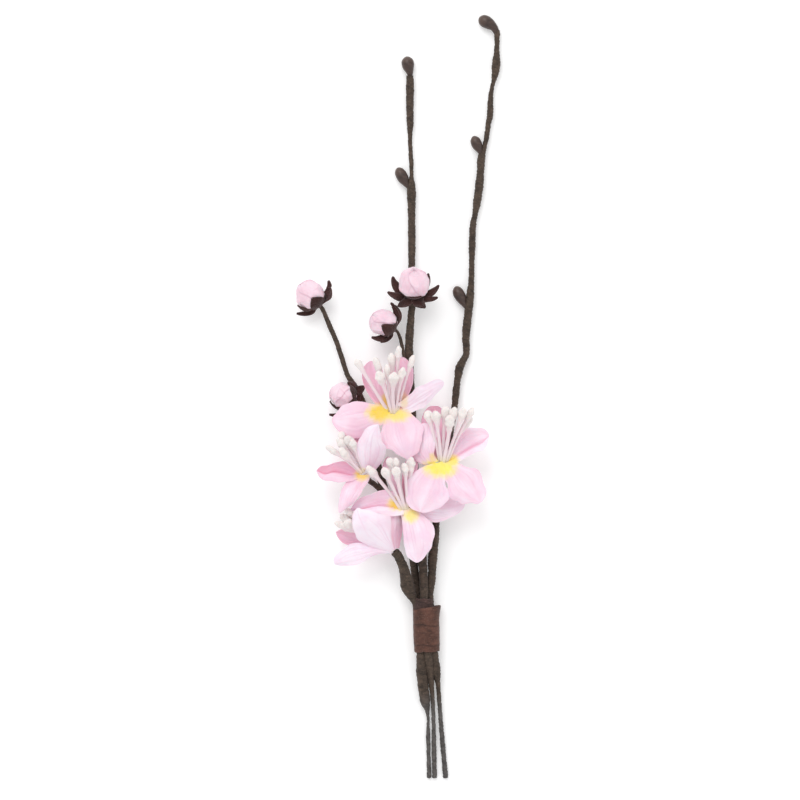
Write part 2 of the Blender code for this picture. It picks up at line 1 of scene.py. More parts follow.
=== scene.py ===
# Paper cherry blossom sprig lying on a pale table, seen from straight above.
# Lengths in the dictionaries of shapes are millimetres on the sprig: x across, y towards the twig tips, z up.
# Those of the paints and of the view are metres.
import bpy
import numpy as np
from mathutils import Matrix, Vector


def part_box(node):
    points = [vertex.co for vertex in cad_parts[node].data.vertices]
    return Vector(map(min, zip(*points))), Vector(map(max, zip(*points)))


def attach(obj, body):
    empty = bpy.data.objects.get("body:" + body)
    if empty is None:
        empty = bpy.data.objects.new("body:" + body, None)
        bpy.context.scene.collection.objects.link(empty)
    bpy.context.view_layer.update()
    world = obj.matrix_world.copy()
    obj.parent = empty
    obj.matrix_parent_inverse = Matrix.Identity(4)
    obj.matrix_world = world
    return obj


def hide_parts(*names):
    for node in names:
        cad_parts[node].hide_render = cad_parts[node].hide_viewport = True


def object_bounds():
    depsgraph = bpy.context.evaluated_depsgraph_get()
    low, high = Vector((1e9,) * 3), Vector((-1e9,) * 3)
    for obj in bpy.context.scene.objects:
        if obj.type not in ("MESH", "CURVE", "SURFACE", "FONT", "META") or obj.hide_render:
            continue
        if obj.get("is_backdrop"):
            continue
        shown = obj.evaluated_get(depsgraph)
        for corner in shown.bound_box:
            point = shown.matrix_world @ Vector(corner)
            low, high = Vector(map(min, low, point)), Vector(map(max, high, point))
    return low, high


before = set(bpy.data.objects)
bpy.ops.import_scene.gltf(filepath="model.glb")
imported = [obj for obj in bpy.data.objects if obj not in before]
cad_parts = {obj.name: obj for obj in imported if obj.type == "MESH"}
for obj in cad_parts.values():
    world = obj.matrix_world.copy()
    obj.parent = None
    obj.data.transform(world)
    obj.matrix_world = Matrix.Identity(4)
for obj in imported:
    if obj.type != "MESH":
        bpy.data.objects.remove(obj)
cadLow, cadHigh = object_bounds()
mm = 0.001
bindingCorner = np.array([4.30, -84.0, 0.15])
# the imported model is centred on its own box, so the binding's lowest corner tells where the sprig's zero lies
sprigShift = np.array(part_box("binding_tape")[0]) / mm - bindingCorner
print("frame loaded, sprig zero at", np.round(sprigShift, 3))


# small sums used by every piece
def unitOf(vector):
    # a vector, or an array of them, divided by its own length
    vector = np.asarray(vector, float)
    return vector / np.maximum(np.linalg.norm(vector, axis=-1, keepdims=True), 1e-12)


def ramp(value, low, high):
    # 0 below low, 1 above high, an S-shaped cubic between them
    t = np.clip((np.asarray(value, float) - low) / (high - low), 0, 1)
    return t * t * (3 - 2 * t)


def ripple(seed, x, y=0.0, low=0.6, high=3.0, count=8):
    # a sum of sine waves over (x, y) whose directions, lengths and starts come from the seed, about -1 to 1
    dice = np.random.default_rng(seed)
    rate, angle = dice.uniform(low, high, count), dice.uniform(0, np.pi, count)
    start = dice.uniform(0, 6.28, count)
    x, y = np.broadcast_arrays(np.asarray(x, float), np.asarray(y, float))
    waves = np.sin(rate * (x[..., None] * np.cos(angle) + y[..., None] * np.sin(angle)) * 1.4 + start)
    return waves.sum(-1) / np.sqrt(count * 1.6)


def hermite(points, length, at, slope=None):
    # cubic Hermite curve through points that stand at these lengths, read off at other lengths
    slope = np.gradient(points, length, axis=0) if slope is None else slope
    i = np.clip(np.searchsorted(length, at, "right") - 1, 0, len(length) - 2)
    span = (length[i + 1] - length[i])[:, None]
    t = (at - length[i])[:, None] / span
    return ((2 * t**3 - 3 * t**2 + 1) * points[i] + (t**3 - 2 * t**2 + t) * span * slope[i]
            + (3 * t**2 - 2 * t**3) * points[i + 1] + (t**3 - t**2) * span * slope[i + 1])


def chordLength(points):
    # how far along the straight runs between its points each point of a line is
    return np.concatenate([[0], np.cumsum(np.linalg.norm(np.diff(points, axis=0), axis=1))])


def smoothPath(rows, step):
    # a smooth curve through the rows (x, y, z, radius), cut into equal steps of its length
    rows = np.asarray(rows, float)
    length = chordLength(rows[:, :3])
    at = np.linspace(0, length[-1], max(int(length[-1] / step), 8) + 1)
    return hermite(rows, length, at), at


def ringFrame(line):
    # for each point of a line: its direction, the part of straight up square to it, and the sideways third
    along = unitOf(np.gradient(line, axis=0))
    above = unitOf(np.array([0, 0, 1.0]) - along * along[:, 2:3] + 1e-9)
    return along, above, np.cross(along, above)


# turning grids into closed bodies
def gridQuads(rows, cols, lines, points):
    # the corners of rows x cols faces on a grid of lines x points, numbered line by line; a face past the
    # last line or point goes round to the first one
    i, j = np.meshgrid(np.arange(rows), np.arange(cols), indexing="ij")
    right = (j + 1) % points
    here, below = i * points, (i + 1) % lines * points
    return np.stack([here + j, below + j, below + right, here + right], -1).reshape(-1, 4)


def stacked(*grids):
    # grids brought to one shape and stacked, so that the last axis is the point
    return np.stack(np.broadcast_arrays(*grids), -1)


def tubeBody(rings, poles, uv, **marks):
    # rings (rows, columns) of points closed round, and one pole point past each end
    rows, cols = rings.shape[:2]
    c = np.arange(cols)
    n = (c + 1) % cols
    first, top, lastUv = rows * cols, (rows - 1) * cols, (rows - 1) * (cols + 1)
    last = first + 1
    tris = np.concatenate([np.stack([np.full(cols, first), c, n], -1),
                           np.stack([np.full(cols, last), top + n, top + c], -1)])
    triUv = np.concatenate([np.stack([c, c, c + 1], -1),
                            np.stack([lastUv + c, lastUv + c + 1, lastUv + c], -1)])
    flatUv = uv.reshape(-1, 2)
    points = np.concatenate([rings.reshape(-1, 3), np.asarray(poles, float)])
    ends = {name: np.concatenate([grid.reshape(-1), [grid[0].mean(), grid[-1].mean()]])
            for name, grid in marks.items()}
    return outward(dict(points=points, quads=gridQuads(rows - 1, cols, rows, cols), tris=tris, marks=ends,
                        quadUv=flatUv[gridQuads(rows - 1, cols, rows, cols + 1)], triUv=flatUv[triUv]))


def quadBody(points, quads, quadUv, marks):
    # a closed body of quads alone
    return outward(dict(points=points.reshape(-1, 3), quads=quads, tris=np.zeros((0, 3), int), quadUv=quadUv,
                        triUv=np.zeros((0, 3, 2)), marks=marks))


def sheetBody(surface, thickness, uv, **marks):
    # a sheet of even thickness: the surface moved half of it along its normal each way, joined all round the
    # rim
    rows, cols = surface.shape[:2]
    normal = unitOf(np.cross(np.gradient(surface, axis=0), np.gradient(surface, axis=1)))
    thickness = np.broadcast_to(thickness, surface.shape[:2])[..., None]
    ring = np.concatenate([surface + normal * thickness / 2, (surface - normal * thickness / 2)[:, ::-1]], 1)
    total = cols * 2
    c = np.arange(cols - 1)
    end = (rows - 1) * total
    lids = np.concatenate([np.stack([c, c + 1, total - 2 - c, total - 1 - c], -1),
                           end + np.stack([c, total - 1 - c, total - 2 - c, c + 1], -1)])
    quads = np.concatenate([gridQuads(rows - 1, total, rows, total), lids])
    flatUv = np.concatenate([uv, uv[:, ::-1]], 1).reshape(-1, 2)
    both = {name: np.concatenate([grid, grid[:, ::-1]], 1).reshape(-1) for name, grid in marks.items()}
    return quadBody(ring, quads, flatUv[quads], both)


def ringsRound(line, along, above, aside, reach, angle):
    # circles of a given reach carried along a line, and a pole point just past each of its ends
    circle = np.cos(angle)[:, None] * above[:, None] + np.sin(angle)[:, None] * aside[:, None]
    beyond = 0.02
    poles = [line[0] - along[0] * beyond, line[-1] + along[-1] * beyond]
    return line[:, None] + reach[..., None] * circle, poles


def outward(body):
    # the signed volume is the sum of a.(b x c)/6 over the triangles; a negative one means the faces look
    # inwards
    p, q = body["points"], body["quads"]
    corners = np.concatenate([q[:, [0, 1, 2]], q[:, [0, 2, 3]], body["tris"]])
    a, b, c = p[corners[:, 0]], p[corners[:, 1]], p[corners[:, 2]]
    if np.einsum("ij,ij->i", a - p[0], np.cross(b - p[0], c - p[0])).sum() < 0:
        for part in ("quads", "tris", "quadUv", "triUv"):
            body[part] = body[part][:, ::-1]
    return body


def pieceName(node):
    # left_twig becomes leftTwig
    words = node.split("_")
    return words[0] + "".join(word.capitalize() for word in words[1:])


def newPiece(name, bodies, paint, slot, *nodes, crisp=0):
    # joins closed bodies into one smooth mesh in metres, with a UV map and its marks, and gives it to the
    # frame; edges that turn by more than crisp (radians) are kept sharp
    offset = np.cumsum([0] + [len(b["points"]) for b in bodies])
    points = np.concatenate([b["points"] for b in bodies]) + sprigShift
    faces = [face for b, start in zip(bodies, offset) for kind in ("quads", "tris")
             for face in (b[kind] + start).tolist()]
    mesh = bpy.data.meshes.new(name)
    mesh.from_pydata((points * mm).tolist(), [], faces)
    uv = np.concatenate([b[kind].reshape(-1, 2) for b in bodies for kind in ("quadUv", "triUv")])
    mesh.uv_layers.new(name="wrap").data.foreach_set("uv", uv.astype(np.float32).ravel())
    for mark in bodies[0]["marks"]:
        values = np.concatenate([b["marks"][mark] for b in bodies])
        mesh.attributes.new(mark, "FLOAT", "POINT").data.foreach_set("value", values.astype(np.float32))
    mesh.polygons.foreach_set("use_smooth", np.ones(len(faces), bool))
    mesh.update()
    if crisp:
        mesh.set_sharp_from_angle(angle=crisp)
    mesh.materials.append(paint)
    piece = bpy.data.objects.new(name, mesh)
    bpy.context.scene.collection.objects.link(piece)
    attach(piece, "root")
    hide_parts(*nodes)


# shared shader groups
def tone(code):
    # an sRGB hex colour as the linear colour that the nodes take
    value = np.array([int(code[i:i + 2], 16) for i in (0, 2, 4)]) / 255
    linear = np.where(value <= 0.04045, value / 12.92, ((value + 0.055) / 1.055) ** 2.4)
    return (*linear.tolist(), 1.0)


def newGroup(name, vectors, numbers, outputs):
    # a shader group with vector inputs, number inputs at their defaults, and number outputs
    group = bpy.data.node_groups.new(name, "ShaderNodeTree")
    for label in vectors:
        group.interface.new_socket(label, in_out="INPUT", socket_type="NodeSocketVector")
    for label, value in numbers.items():
        socket = group.interface.new_socket(label, in_out="INPUT", socket_type="NodeSocketFloat")
        socket.default_value = value
    for label in outputs:
        group.interface.new_socket(label, in_out="OUTPUT", socket_type="NodeSocketFloat")
    return group, group.nodes.new("NodeGroupInput").outputs, group.nodes.new("NodeGroupOutput").inputs


def addNode(tree, kind, **settings):
    # makes a node; settings that name an input set it, the others set the node itself
    node = tree.nodes.new(kind)
    for key, value in settings.items():
        if key in node.inputs:
            node.inputs[key].default_value = value
        else:
            setattr(node, key, value)
    return node


def feed(tree, pairs):
    # gives each socket its value, which may be another socket, a number or a colour
    for socket, value in pairs:
        if isinstance(value, (int, float, tuple)):
            socket.default_value = value
        elif value is not None:
            tree.links.new(value, socket)


def addMath(tree, operation, first, second=None, clamp=False):
    node = addNode(tree, "ShaderNodeMath", operation=operation, use_clamp=clamp)
    feed(tree, zip(node.inputs, (first, second)))
    return node.outputs[0]


def times(tree, first, second, clamp=False):
    return addMath(tree, "MULTIPLY", first, second, clamp)


def past(tree, value, start, gain):
    # how far the value is past its start, times the gain, kept from 0 to 1
    return times(tree, addMath(tree, "SUBTRACT", value, start), gain, clamp=True)


def addMix(tree, factor, first, second):
    # mixes two colours; each may be a socket, a colour or an sRGB code
    node = addNode(tree, "ShaderNodeMix", data_type="RGBA")
    first, second = (tone(value) if isinstance(value, str) else value for value in (first, second))
    feed(tree, ((node.inputs[0], factor), (node.inputs[6], first), (node.inputs[7], second)))
    return node.outputs[2]


def addNoise(tree, place, scale, **settings):
    # a noise pattern read at the place
    node = addNode(tree, "ShaderNodeTexNoise", **settings)
    feed(tree, ((node.inputs["Vector"], place), (node.inputs["Scale"], scale)))
    return node.outputs[0]


def makeFibreGroup():
    # paper fibre: long streaks that follow the UV map's second axis, soft clouds and fine felted grain on top
    group, given, out = newGroup("paperFibre", ("Place", "Sheet"),
                                 {"Streak Width": 9.0, "Grain Size": 1400.0},
                                 ("Streak", "Cloud", "Grain", "Height"))
    stretch = addNode(group, "ShaderNodeMapping", Scale=(1.0, 0.14, 1.0))
    group.links.new(given["Sheet"], stretch.inputs["Vector"])
    streak = addNoise(group, stretch.outputs[0], given["Streak Width"],
                      Detail=5.0, Roughness=0.62, Distortion=0.25)
    cloud = addNoise(group, given["Place"], 210.0, Detail=3.0, Roughness=0.5)
    grain = addNoise(group, given["Place"], given["Grain Size"], Detail=4.0, Roughness=0.7)
    height = addMath(group, "ADD", times(group, streak, 0.75), times(group, grain, 0.25))
    feed(group, zip(out, (streak, cloud, grain, height)))
    return group


def makeCrepeGroup():
    # crepe tape: fine wrinkles across the strip, coarser rubbed patches, and specks of dust caught in the
    # folds
    group, given, out = newGroup("crepeTape", ("Place", "Strip"), {"Wrinkles": 3.0, "Patch Size": 260.0},
                                 ("Wrinkle", "Patch", "Dust", "Height"))
    wrinkle = addNoise(group, given["Strip"], given["Wrinkles"], Detail=4.0, Roughness=0.6, Distortion=0.4)
    patch = addNoise(group, given["Place"], given["Patch Size"], Detail=5.0, Roughness=0.65)
    dust = past(group, addNoise(group, given["Place"], 2600.0, Detail=2.0, Roughness=0.5), 0.58, 5.0)
    height = addMath(group, "ADD", times(group, wrinkle, 0.7), times(group, patch, 0.3))
    feed(group, zip(out, (wrinkle, patch, dust, height)))
    return group


fibreGroup = makeFibreGroup()
crepeGroup = makeCrepeGroup()


def newPaint(name):
    # an empty node material with its shader, and the two ways of placing a pattern on a piece
    paint = bpy.data.materials.new(name)
    paint.use_nodes = True
    tree = paint.node_tree
    place = tree.nodes.new("ShaderNodeTexCoord").outputs["Object"]
    wrap = addNode(tree, "ShaderNodeUVMap", uv_map="wrap").outputs[0]
    return paint, tree, tree.nodes["Principled BSDF"], place, wrap


def putGroup(tree, group, place, wrap, **values):
    # a shader group read at the place and along the wrap, its first two inputs, with its numbers set
    node = addNode(tree, "ShaderNodeGroup", node_tree=group)
    feed(tree, zip(node.inputs, (place, wrap)))
    feed(tree, [(node.inputs[label.replace("_", " ")], value) for label, value in values.items()])
    return node.outputs


def readMark(tree, name):
    return addNode(tree, "ShaderNodeAttribute", attribute_name=name).outputs["Fac"]


def finishPaint(tree, shader, colour, look, pattern, height):
    # links the colour, a roughness that the pattern spreads by look["mottle"] (below, range) and a bump, and
    # sets the shader's plain values
    below, span = look["mottle"]
    strength, distance = look["bump"]
    bump = addNode(tree, "ShaderNodeBump", Strength=strength, Distance=distance)
    rough = addMath(tree, "ADD", look["roughness"] - below, times(tree, pattern, span))
    feed(tree, ((shader.inputs["Base Color"], colour), (shader.inputs["Roughness"], rough),
                (bump.inputs["Height"], height), (shader.inputs["Normal"], bump.outputs[0])))
    feed(tree, [(shader.inputs[label], value) for label, value in look["shader"].items()])


# paints
petalLook = dict(
    pale="fdecf8", rose="e9a5bb", mauve="f2d3ea", vein="dfa8c3", lemon="fff07a", yolk="f6c640",
    roughness=0.8, mottle=(0.08, 0.16), bump=(0.35, 0.0003), shader={
        "Specular IOR Level": 0.25, "Sheen Weight": 0.15, "Sheen Roughness": 0.5, "Subsurface Weight": 0.25,
        "Subsurface Radius": (1.0, 0.55, 0.6), "Subsurface Scale": 0.0006})


def makePetalPaint(look):
    # pale pink paper: rosier by the blush mark, which is partly the paper's own pink and partly painted shade
    # on the back and cupped petals, with painted mauve shade in broad clouds, streaked along the sheet, with
    # painted shade in the pressed lines ("line" mark), airbrushed yellow by the "splash" mark, lemon to yolk by
    # the "gold" mark
    paint, tree, shader, place, wrap = newPaint("petalPaper")
    fibre = putGroup(tree, fibreGroup, place, wrap, Streak_Width=8.0, Grain_Size=1500.0)
    cloud = addMath(tree, "SUBTRACT", fibre["Cloud"], 0.5)
    # the blush: the paper's pink plus painted shade, spread by soft clouds
    blush = addMath(tree, "ADD", readMark(tree, "blush"), times(tree, cloud, 0.5), clamp=True)
    colour = addMix(tree, blush, look["pale"], look["rose"])
    # painted soft shade of the crumpled paper, as broad mauve clouds
    colour = addMix(tree, times(tree, past(tree, fibre["Cloud"], 0.46, 3.0), 0.5), colour, look["mauve"])
    colour = addMix(tree, past(tree, fibre["Streak"], 0.52, 1.6), colour, look["vein"])
    # painted shade along the pressed lines
    colour = addMix(tree, times(tree, readMark(tree, "line"), 0.22), colour, look["vein"])
    splash = readMark(tree, "splash")
    spray = times(tree, splash, addMath(tree, "ADD", 0.72, times(tree, fibre["Grain"], 0.5)), clamp=True)
    deep = addMath(tree, "ADD", readMark(tree, "gold"), times(tree, cloud, 0.8))
    yellow = addMix(tree, times(tree, deep, splash, clamp=True), look["lemon"], look["yolk"])
    colour = addMix(tree, spray, colour, yellow)
    finishPaint(tree, shader, colour, look, fibre["Grain"], fibre["Height"])
    return paint


budLook = dict(
    # the crease colour is painted shade for the folds
    pale="f9dfea", shade="e7c2d2", crease="cf9fb4",
    roughness=0.82, mottle=(0.1, 0.2), bump=(0.85, 0.0006), shader={
        "Specular IOR Level": 0.25, "Sheen Weight": 0.2, "Subsurface Weight": 0.3,
        "Subsurface Radius": (1.0, 0.5, 0.55), "Subsurface Scale": 0.0012})


def makeBudPaint(look):
    # tissue: pale and pinker in soft clouds, with painted shade in the laps, pleats, pinched tip and facet
    # edges (the fold mark), and crumpled fibre
    paint, tree, shader, place, wrap = newPaint("budTissue")
    fibre = putGroup(tree, fibreGroup, place, wrap, Streak_Width=14.0, Grain_Size=1300.0)
    colour = addMix(tree, past(tree, fibre["Cloud"], 0.38, 2.2), look["pale"], look["shade"])
    colour = addMix(tree, readMark(tree, "fold"), colour, look["crease"])
    finishPaint(tree, shader, colour, look, fibre["Grain"], fibre["Height"])
    return paint


stamenLook = dict(
    thread="f1dfe4", foot="efdfc2", head="f0eae7", headShade="d6c8c8",
    roughness=0.55, mottle=(0.1, 0.25), bump=(0.6, 0.0004), shader={
        "Subsurface Weight": 0.35, "Subsurface Radius": (1.0, 0.8, 0.75), "Subsurface Scale": 0.0009,
        "Coat Weight": 0.12, "Coat Roughness": 0.35})


def makeStamenPaint(look):
    # starched cream thread, yellowed where it leaves the flower ("foot" mark), pearly lumpy heads ("head"
    # mark)
    paint, tree, shader, place, wrap = newPaint("starchedThread")
    fibre = putGroup(tree, fibreGroup, place, wrap, Streak_Width=10.0, Grain_Size=2200.0)
    head = addMix(tree, past(tree, fibre["Grain"], 0.45, 2.0), look["head"], look["headShade"])
    thread = addMix(tree, readMark(tree, "foot"), look["thread"], look["foot"])
    colour = addMix(tree, readMark(tree, "head"), thread, head)
    finishPaint(tree, shader, colour, look, fibre["Grain"], fibre["Height"])
    return paint


def makeTapePaint(name, look):
    # crepe tape: darker in the seams ("seam" mark), lighter where rubbed, dusty specks, greyer by the "tail"
    # mark
    paint, tree, shader, place, wrap = newPaint(name)
    crepe = putGroup(tree, crepeGroup, place, wrap, Wrinkles=look["wrinkles"], Patch_Size=look["patch"])
    rub = past(tree, crepe["Patch"], 0.36, 2.6)
    colour = addMix(tree, rub, look["dark"], look["light"])
    colour = addMix(tree, past(tree, crepe["Wrinkle"], 0.5, 2.0), colour, look["crest"])
    if "tail" in look:
        colour = addMix(tree, readMark(tree, "tail"), colour, addMix(tree, rub, *look["tail"]))
    colour = addMix(tree, times(tree, crepe["Dust"], 0.35), colour, look["dust"])
    colour = addMix(tree, readMark(tree, "seam"), colour, look["seam"])
    finishPaint(tree, shader, colour, look, crepe["Wrinkle"], crepe["Height"])
    return paint


stemTapeLook = dict(
    dark="2f251e", light="56463b", crest="6b5a4c", seam="1b140f", dust="95836f", tail=("403d3c", "696563"),
    wrinkles=2.8, patch=480.0, roughness=0.72, mottle=(0.12, 0.24), bump=(1.0, 0.0004),
    shader={"Specular IOR Level": 0.35, "Sheen Weight": 0.06})
bandTapeLook = dict(
    dark="41271f", light="6b4539", crest="815a49", seam="211310", dust="a0877a",
    wrinkles=3.0, patch=320.0, roughness=0.75, mottle=(0.12, 0.24), bump=(0.7, 0.0004),
    shader={"Specular IOR Level": 0.35, "Sheen Weight": 0.15})
underTapeLook = dict(
    dark="33221f", light="553c37", crest="664b45", seam="17100e", dust="85716b",
    wrinkles=3.0, patch=420.0, roughness=0.75, mottle=(0.12, 0.24), bump=(0.8, 0.0004),
    shader={"Specular IOR Level": 0.35, "Sheen Weight": 0.1})
feltLook = dict(
    dark="3c2624", light="5e403d", fuzz="7a5a56", roughness=0.92, mottle=(0.08, 0.12), bump=(0.9, 0.0004),
    shader={"Specular IOR Level": 0.15, "Sheen Weight": 0.25, "Sheen Roughness": 0.4})


def makeFeltPaint(look):
    # dark plum-brown felt: matted short fibre with a light fuzz on the raised bits
    paint, tree, shader, place, wrap = newPaint("sepalFelt")
    fibre = putGroup(tree, fibreGroup, place, wrap, Streak_Width=6.0, Grain_Size=2600.0)
    colour = addMix(tree, past(tree, fibre["Cloud"], 0.35, 2.2), look["dark"], look["light"])
    colour = addMix(tree, past(tree, fibre["Grain"], 0.55, 3.0), colour, look["fuzz"])
    finishPaint(tree, shader, colour, look, fibre["Grain"], fibre["Grain"])
    return paint


waxLook = dict(
    dark="30201b", light="4e3931", tip="5e483e", roughness=0.42, mottle=(0.1, 0.25), bump=(0.45, 0.0003),
    shader={"Coat Weight": 0.15, "Coat Roughness": 0.4})


def makeLeafBudPaint(look):
    # brown waxed paper: lengthwise grain, a worn lighter tip ("tip" mark) and a dull shine
    paint, tree, shader, place, wrap = newPaint("waxedLeafBud")
    fibre = putGroup(tree, fibreGroup, place, wrap, Streak_Width=5.0, Grain_Size=1800.0)
    colour = addMix(tree, past(tree, fibre["Streak"], 0.36, 2.6), look["dark"], look["light"])
    colour = addMix(tree, times(tree, readMark(tree, "tip"), fibre["Cloud"], clamp=True), colour, look["tip"])
    finishPaint(tree, shader, colour, look, fibre["Grain"], fibre["Height"])
    return paint


petalPaper = makePetalPaint(petalLook)
budTissue = makeBudPaint(budLook)
starchedThread = makeStamenPaint(stamenLook)
stemTape = makeTapePaint("stemTape", stemTapeLook)
bandTape = makeTapePaint("bandTape", bandTapeLook)
underWrapTape = makeTapePaint("underWrapTape", underTapeLook)
sepalFelt = makeFeltPaint(feltLook)
waxedLeafBud = makeLeafBudPaint(waxLook)
print("paints mixed")


# wrapped wire stems
wireEnds = (96, 105)  # how far below the sprig's zero the tape turns grey


def wrappedStem(rows, seed=1, pitch=3.6, lap=0.10, lumps=0.07, twist=0.035, ends=(0.5, 0.4),
                sides=22, step=0.28):
    # A circle carried along the path. Its radius is the path's own, times slow lumps, plus a tape lap: a
    # sawtooth of (length / pitch + angle / full turn) that steps up by the lap and falls back over one turn,
    # plus fine twisted pleats that run with the lap. Both ends round off over their end length. The tape is
    # greyer on the wire ends below the binding.
    path, at = smoothPath(rows, step)
    line, radius = path[:, :3], path[:, 3]
    along, above, aside = ringFrame(line)
    angle = np.linspace(0, 2 * np.pi, sides, endpoint=False)
    s = at[:, None]
    wound = s / pitch + angle / (2 * np.pi) + 0.22 * ripple(seed, s / pitch * 0.9, 0, 0.5, 1.6)
    turn = wound - np.floor(wound)
    sawtooth = ramp(turn, 0, 0.12) * (1 - turn)
    lumpy = 1 + lumps * ripple(seed + 1, s * 0.33 + 0 * angle, np.cos(angle) * 0.8, 0.6, 2.6)
    pleats = twist * np.sin(wound * 2 * np.pi * 3 + 1.2 * ripple(seed + 2, s * 0.5, np.sin(angle)))
    pleats = pleats + 0.5 * twist * ripple(seed + 5, s * 1.7, np.cos(angle) * 2.2, 1.0, 3.0)
    total = at[-1]
    fromEnd = np.minimum(at / ends[0], (total - at) / ends[1])
    blunt = np.sqrt(1 - (1 - np.clip(fromEnd, 0, 1)) ** 2)[:, None] * 0.94 + 0.06
    r = radius[:, None]
    reach = (r * lumpy + lap * (sawtooth - 0.35) + pleats * np.minimum(r, 1.0)) * blunt
    rings, poles = ringsRound(line, along, above, aside, reach, angle)
    v = np.linspace(0, 1, sides + 1)
    uv = stacked(s / pitch + v, v * 0 + s * 0.5)
    seam = np.clip(1 - np.abs(turn - 0.03) / 0.09, 0, 1) * 0.5 * (lap > 0.03)
    tail = ramp(-line[:, 1], *wireEnds)[:, None] + 0 * turn
    return tubeBody(rings, poles, uv, seam=seam, tail=tail)


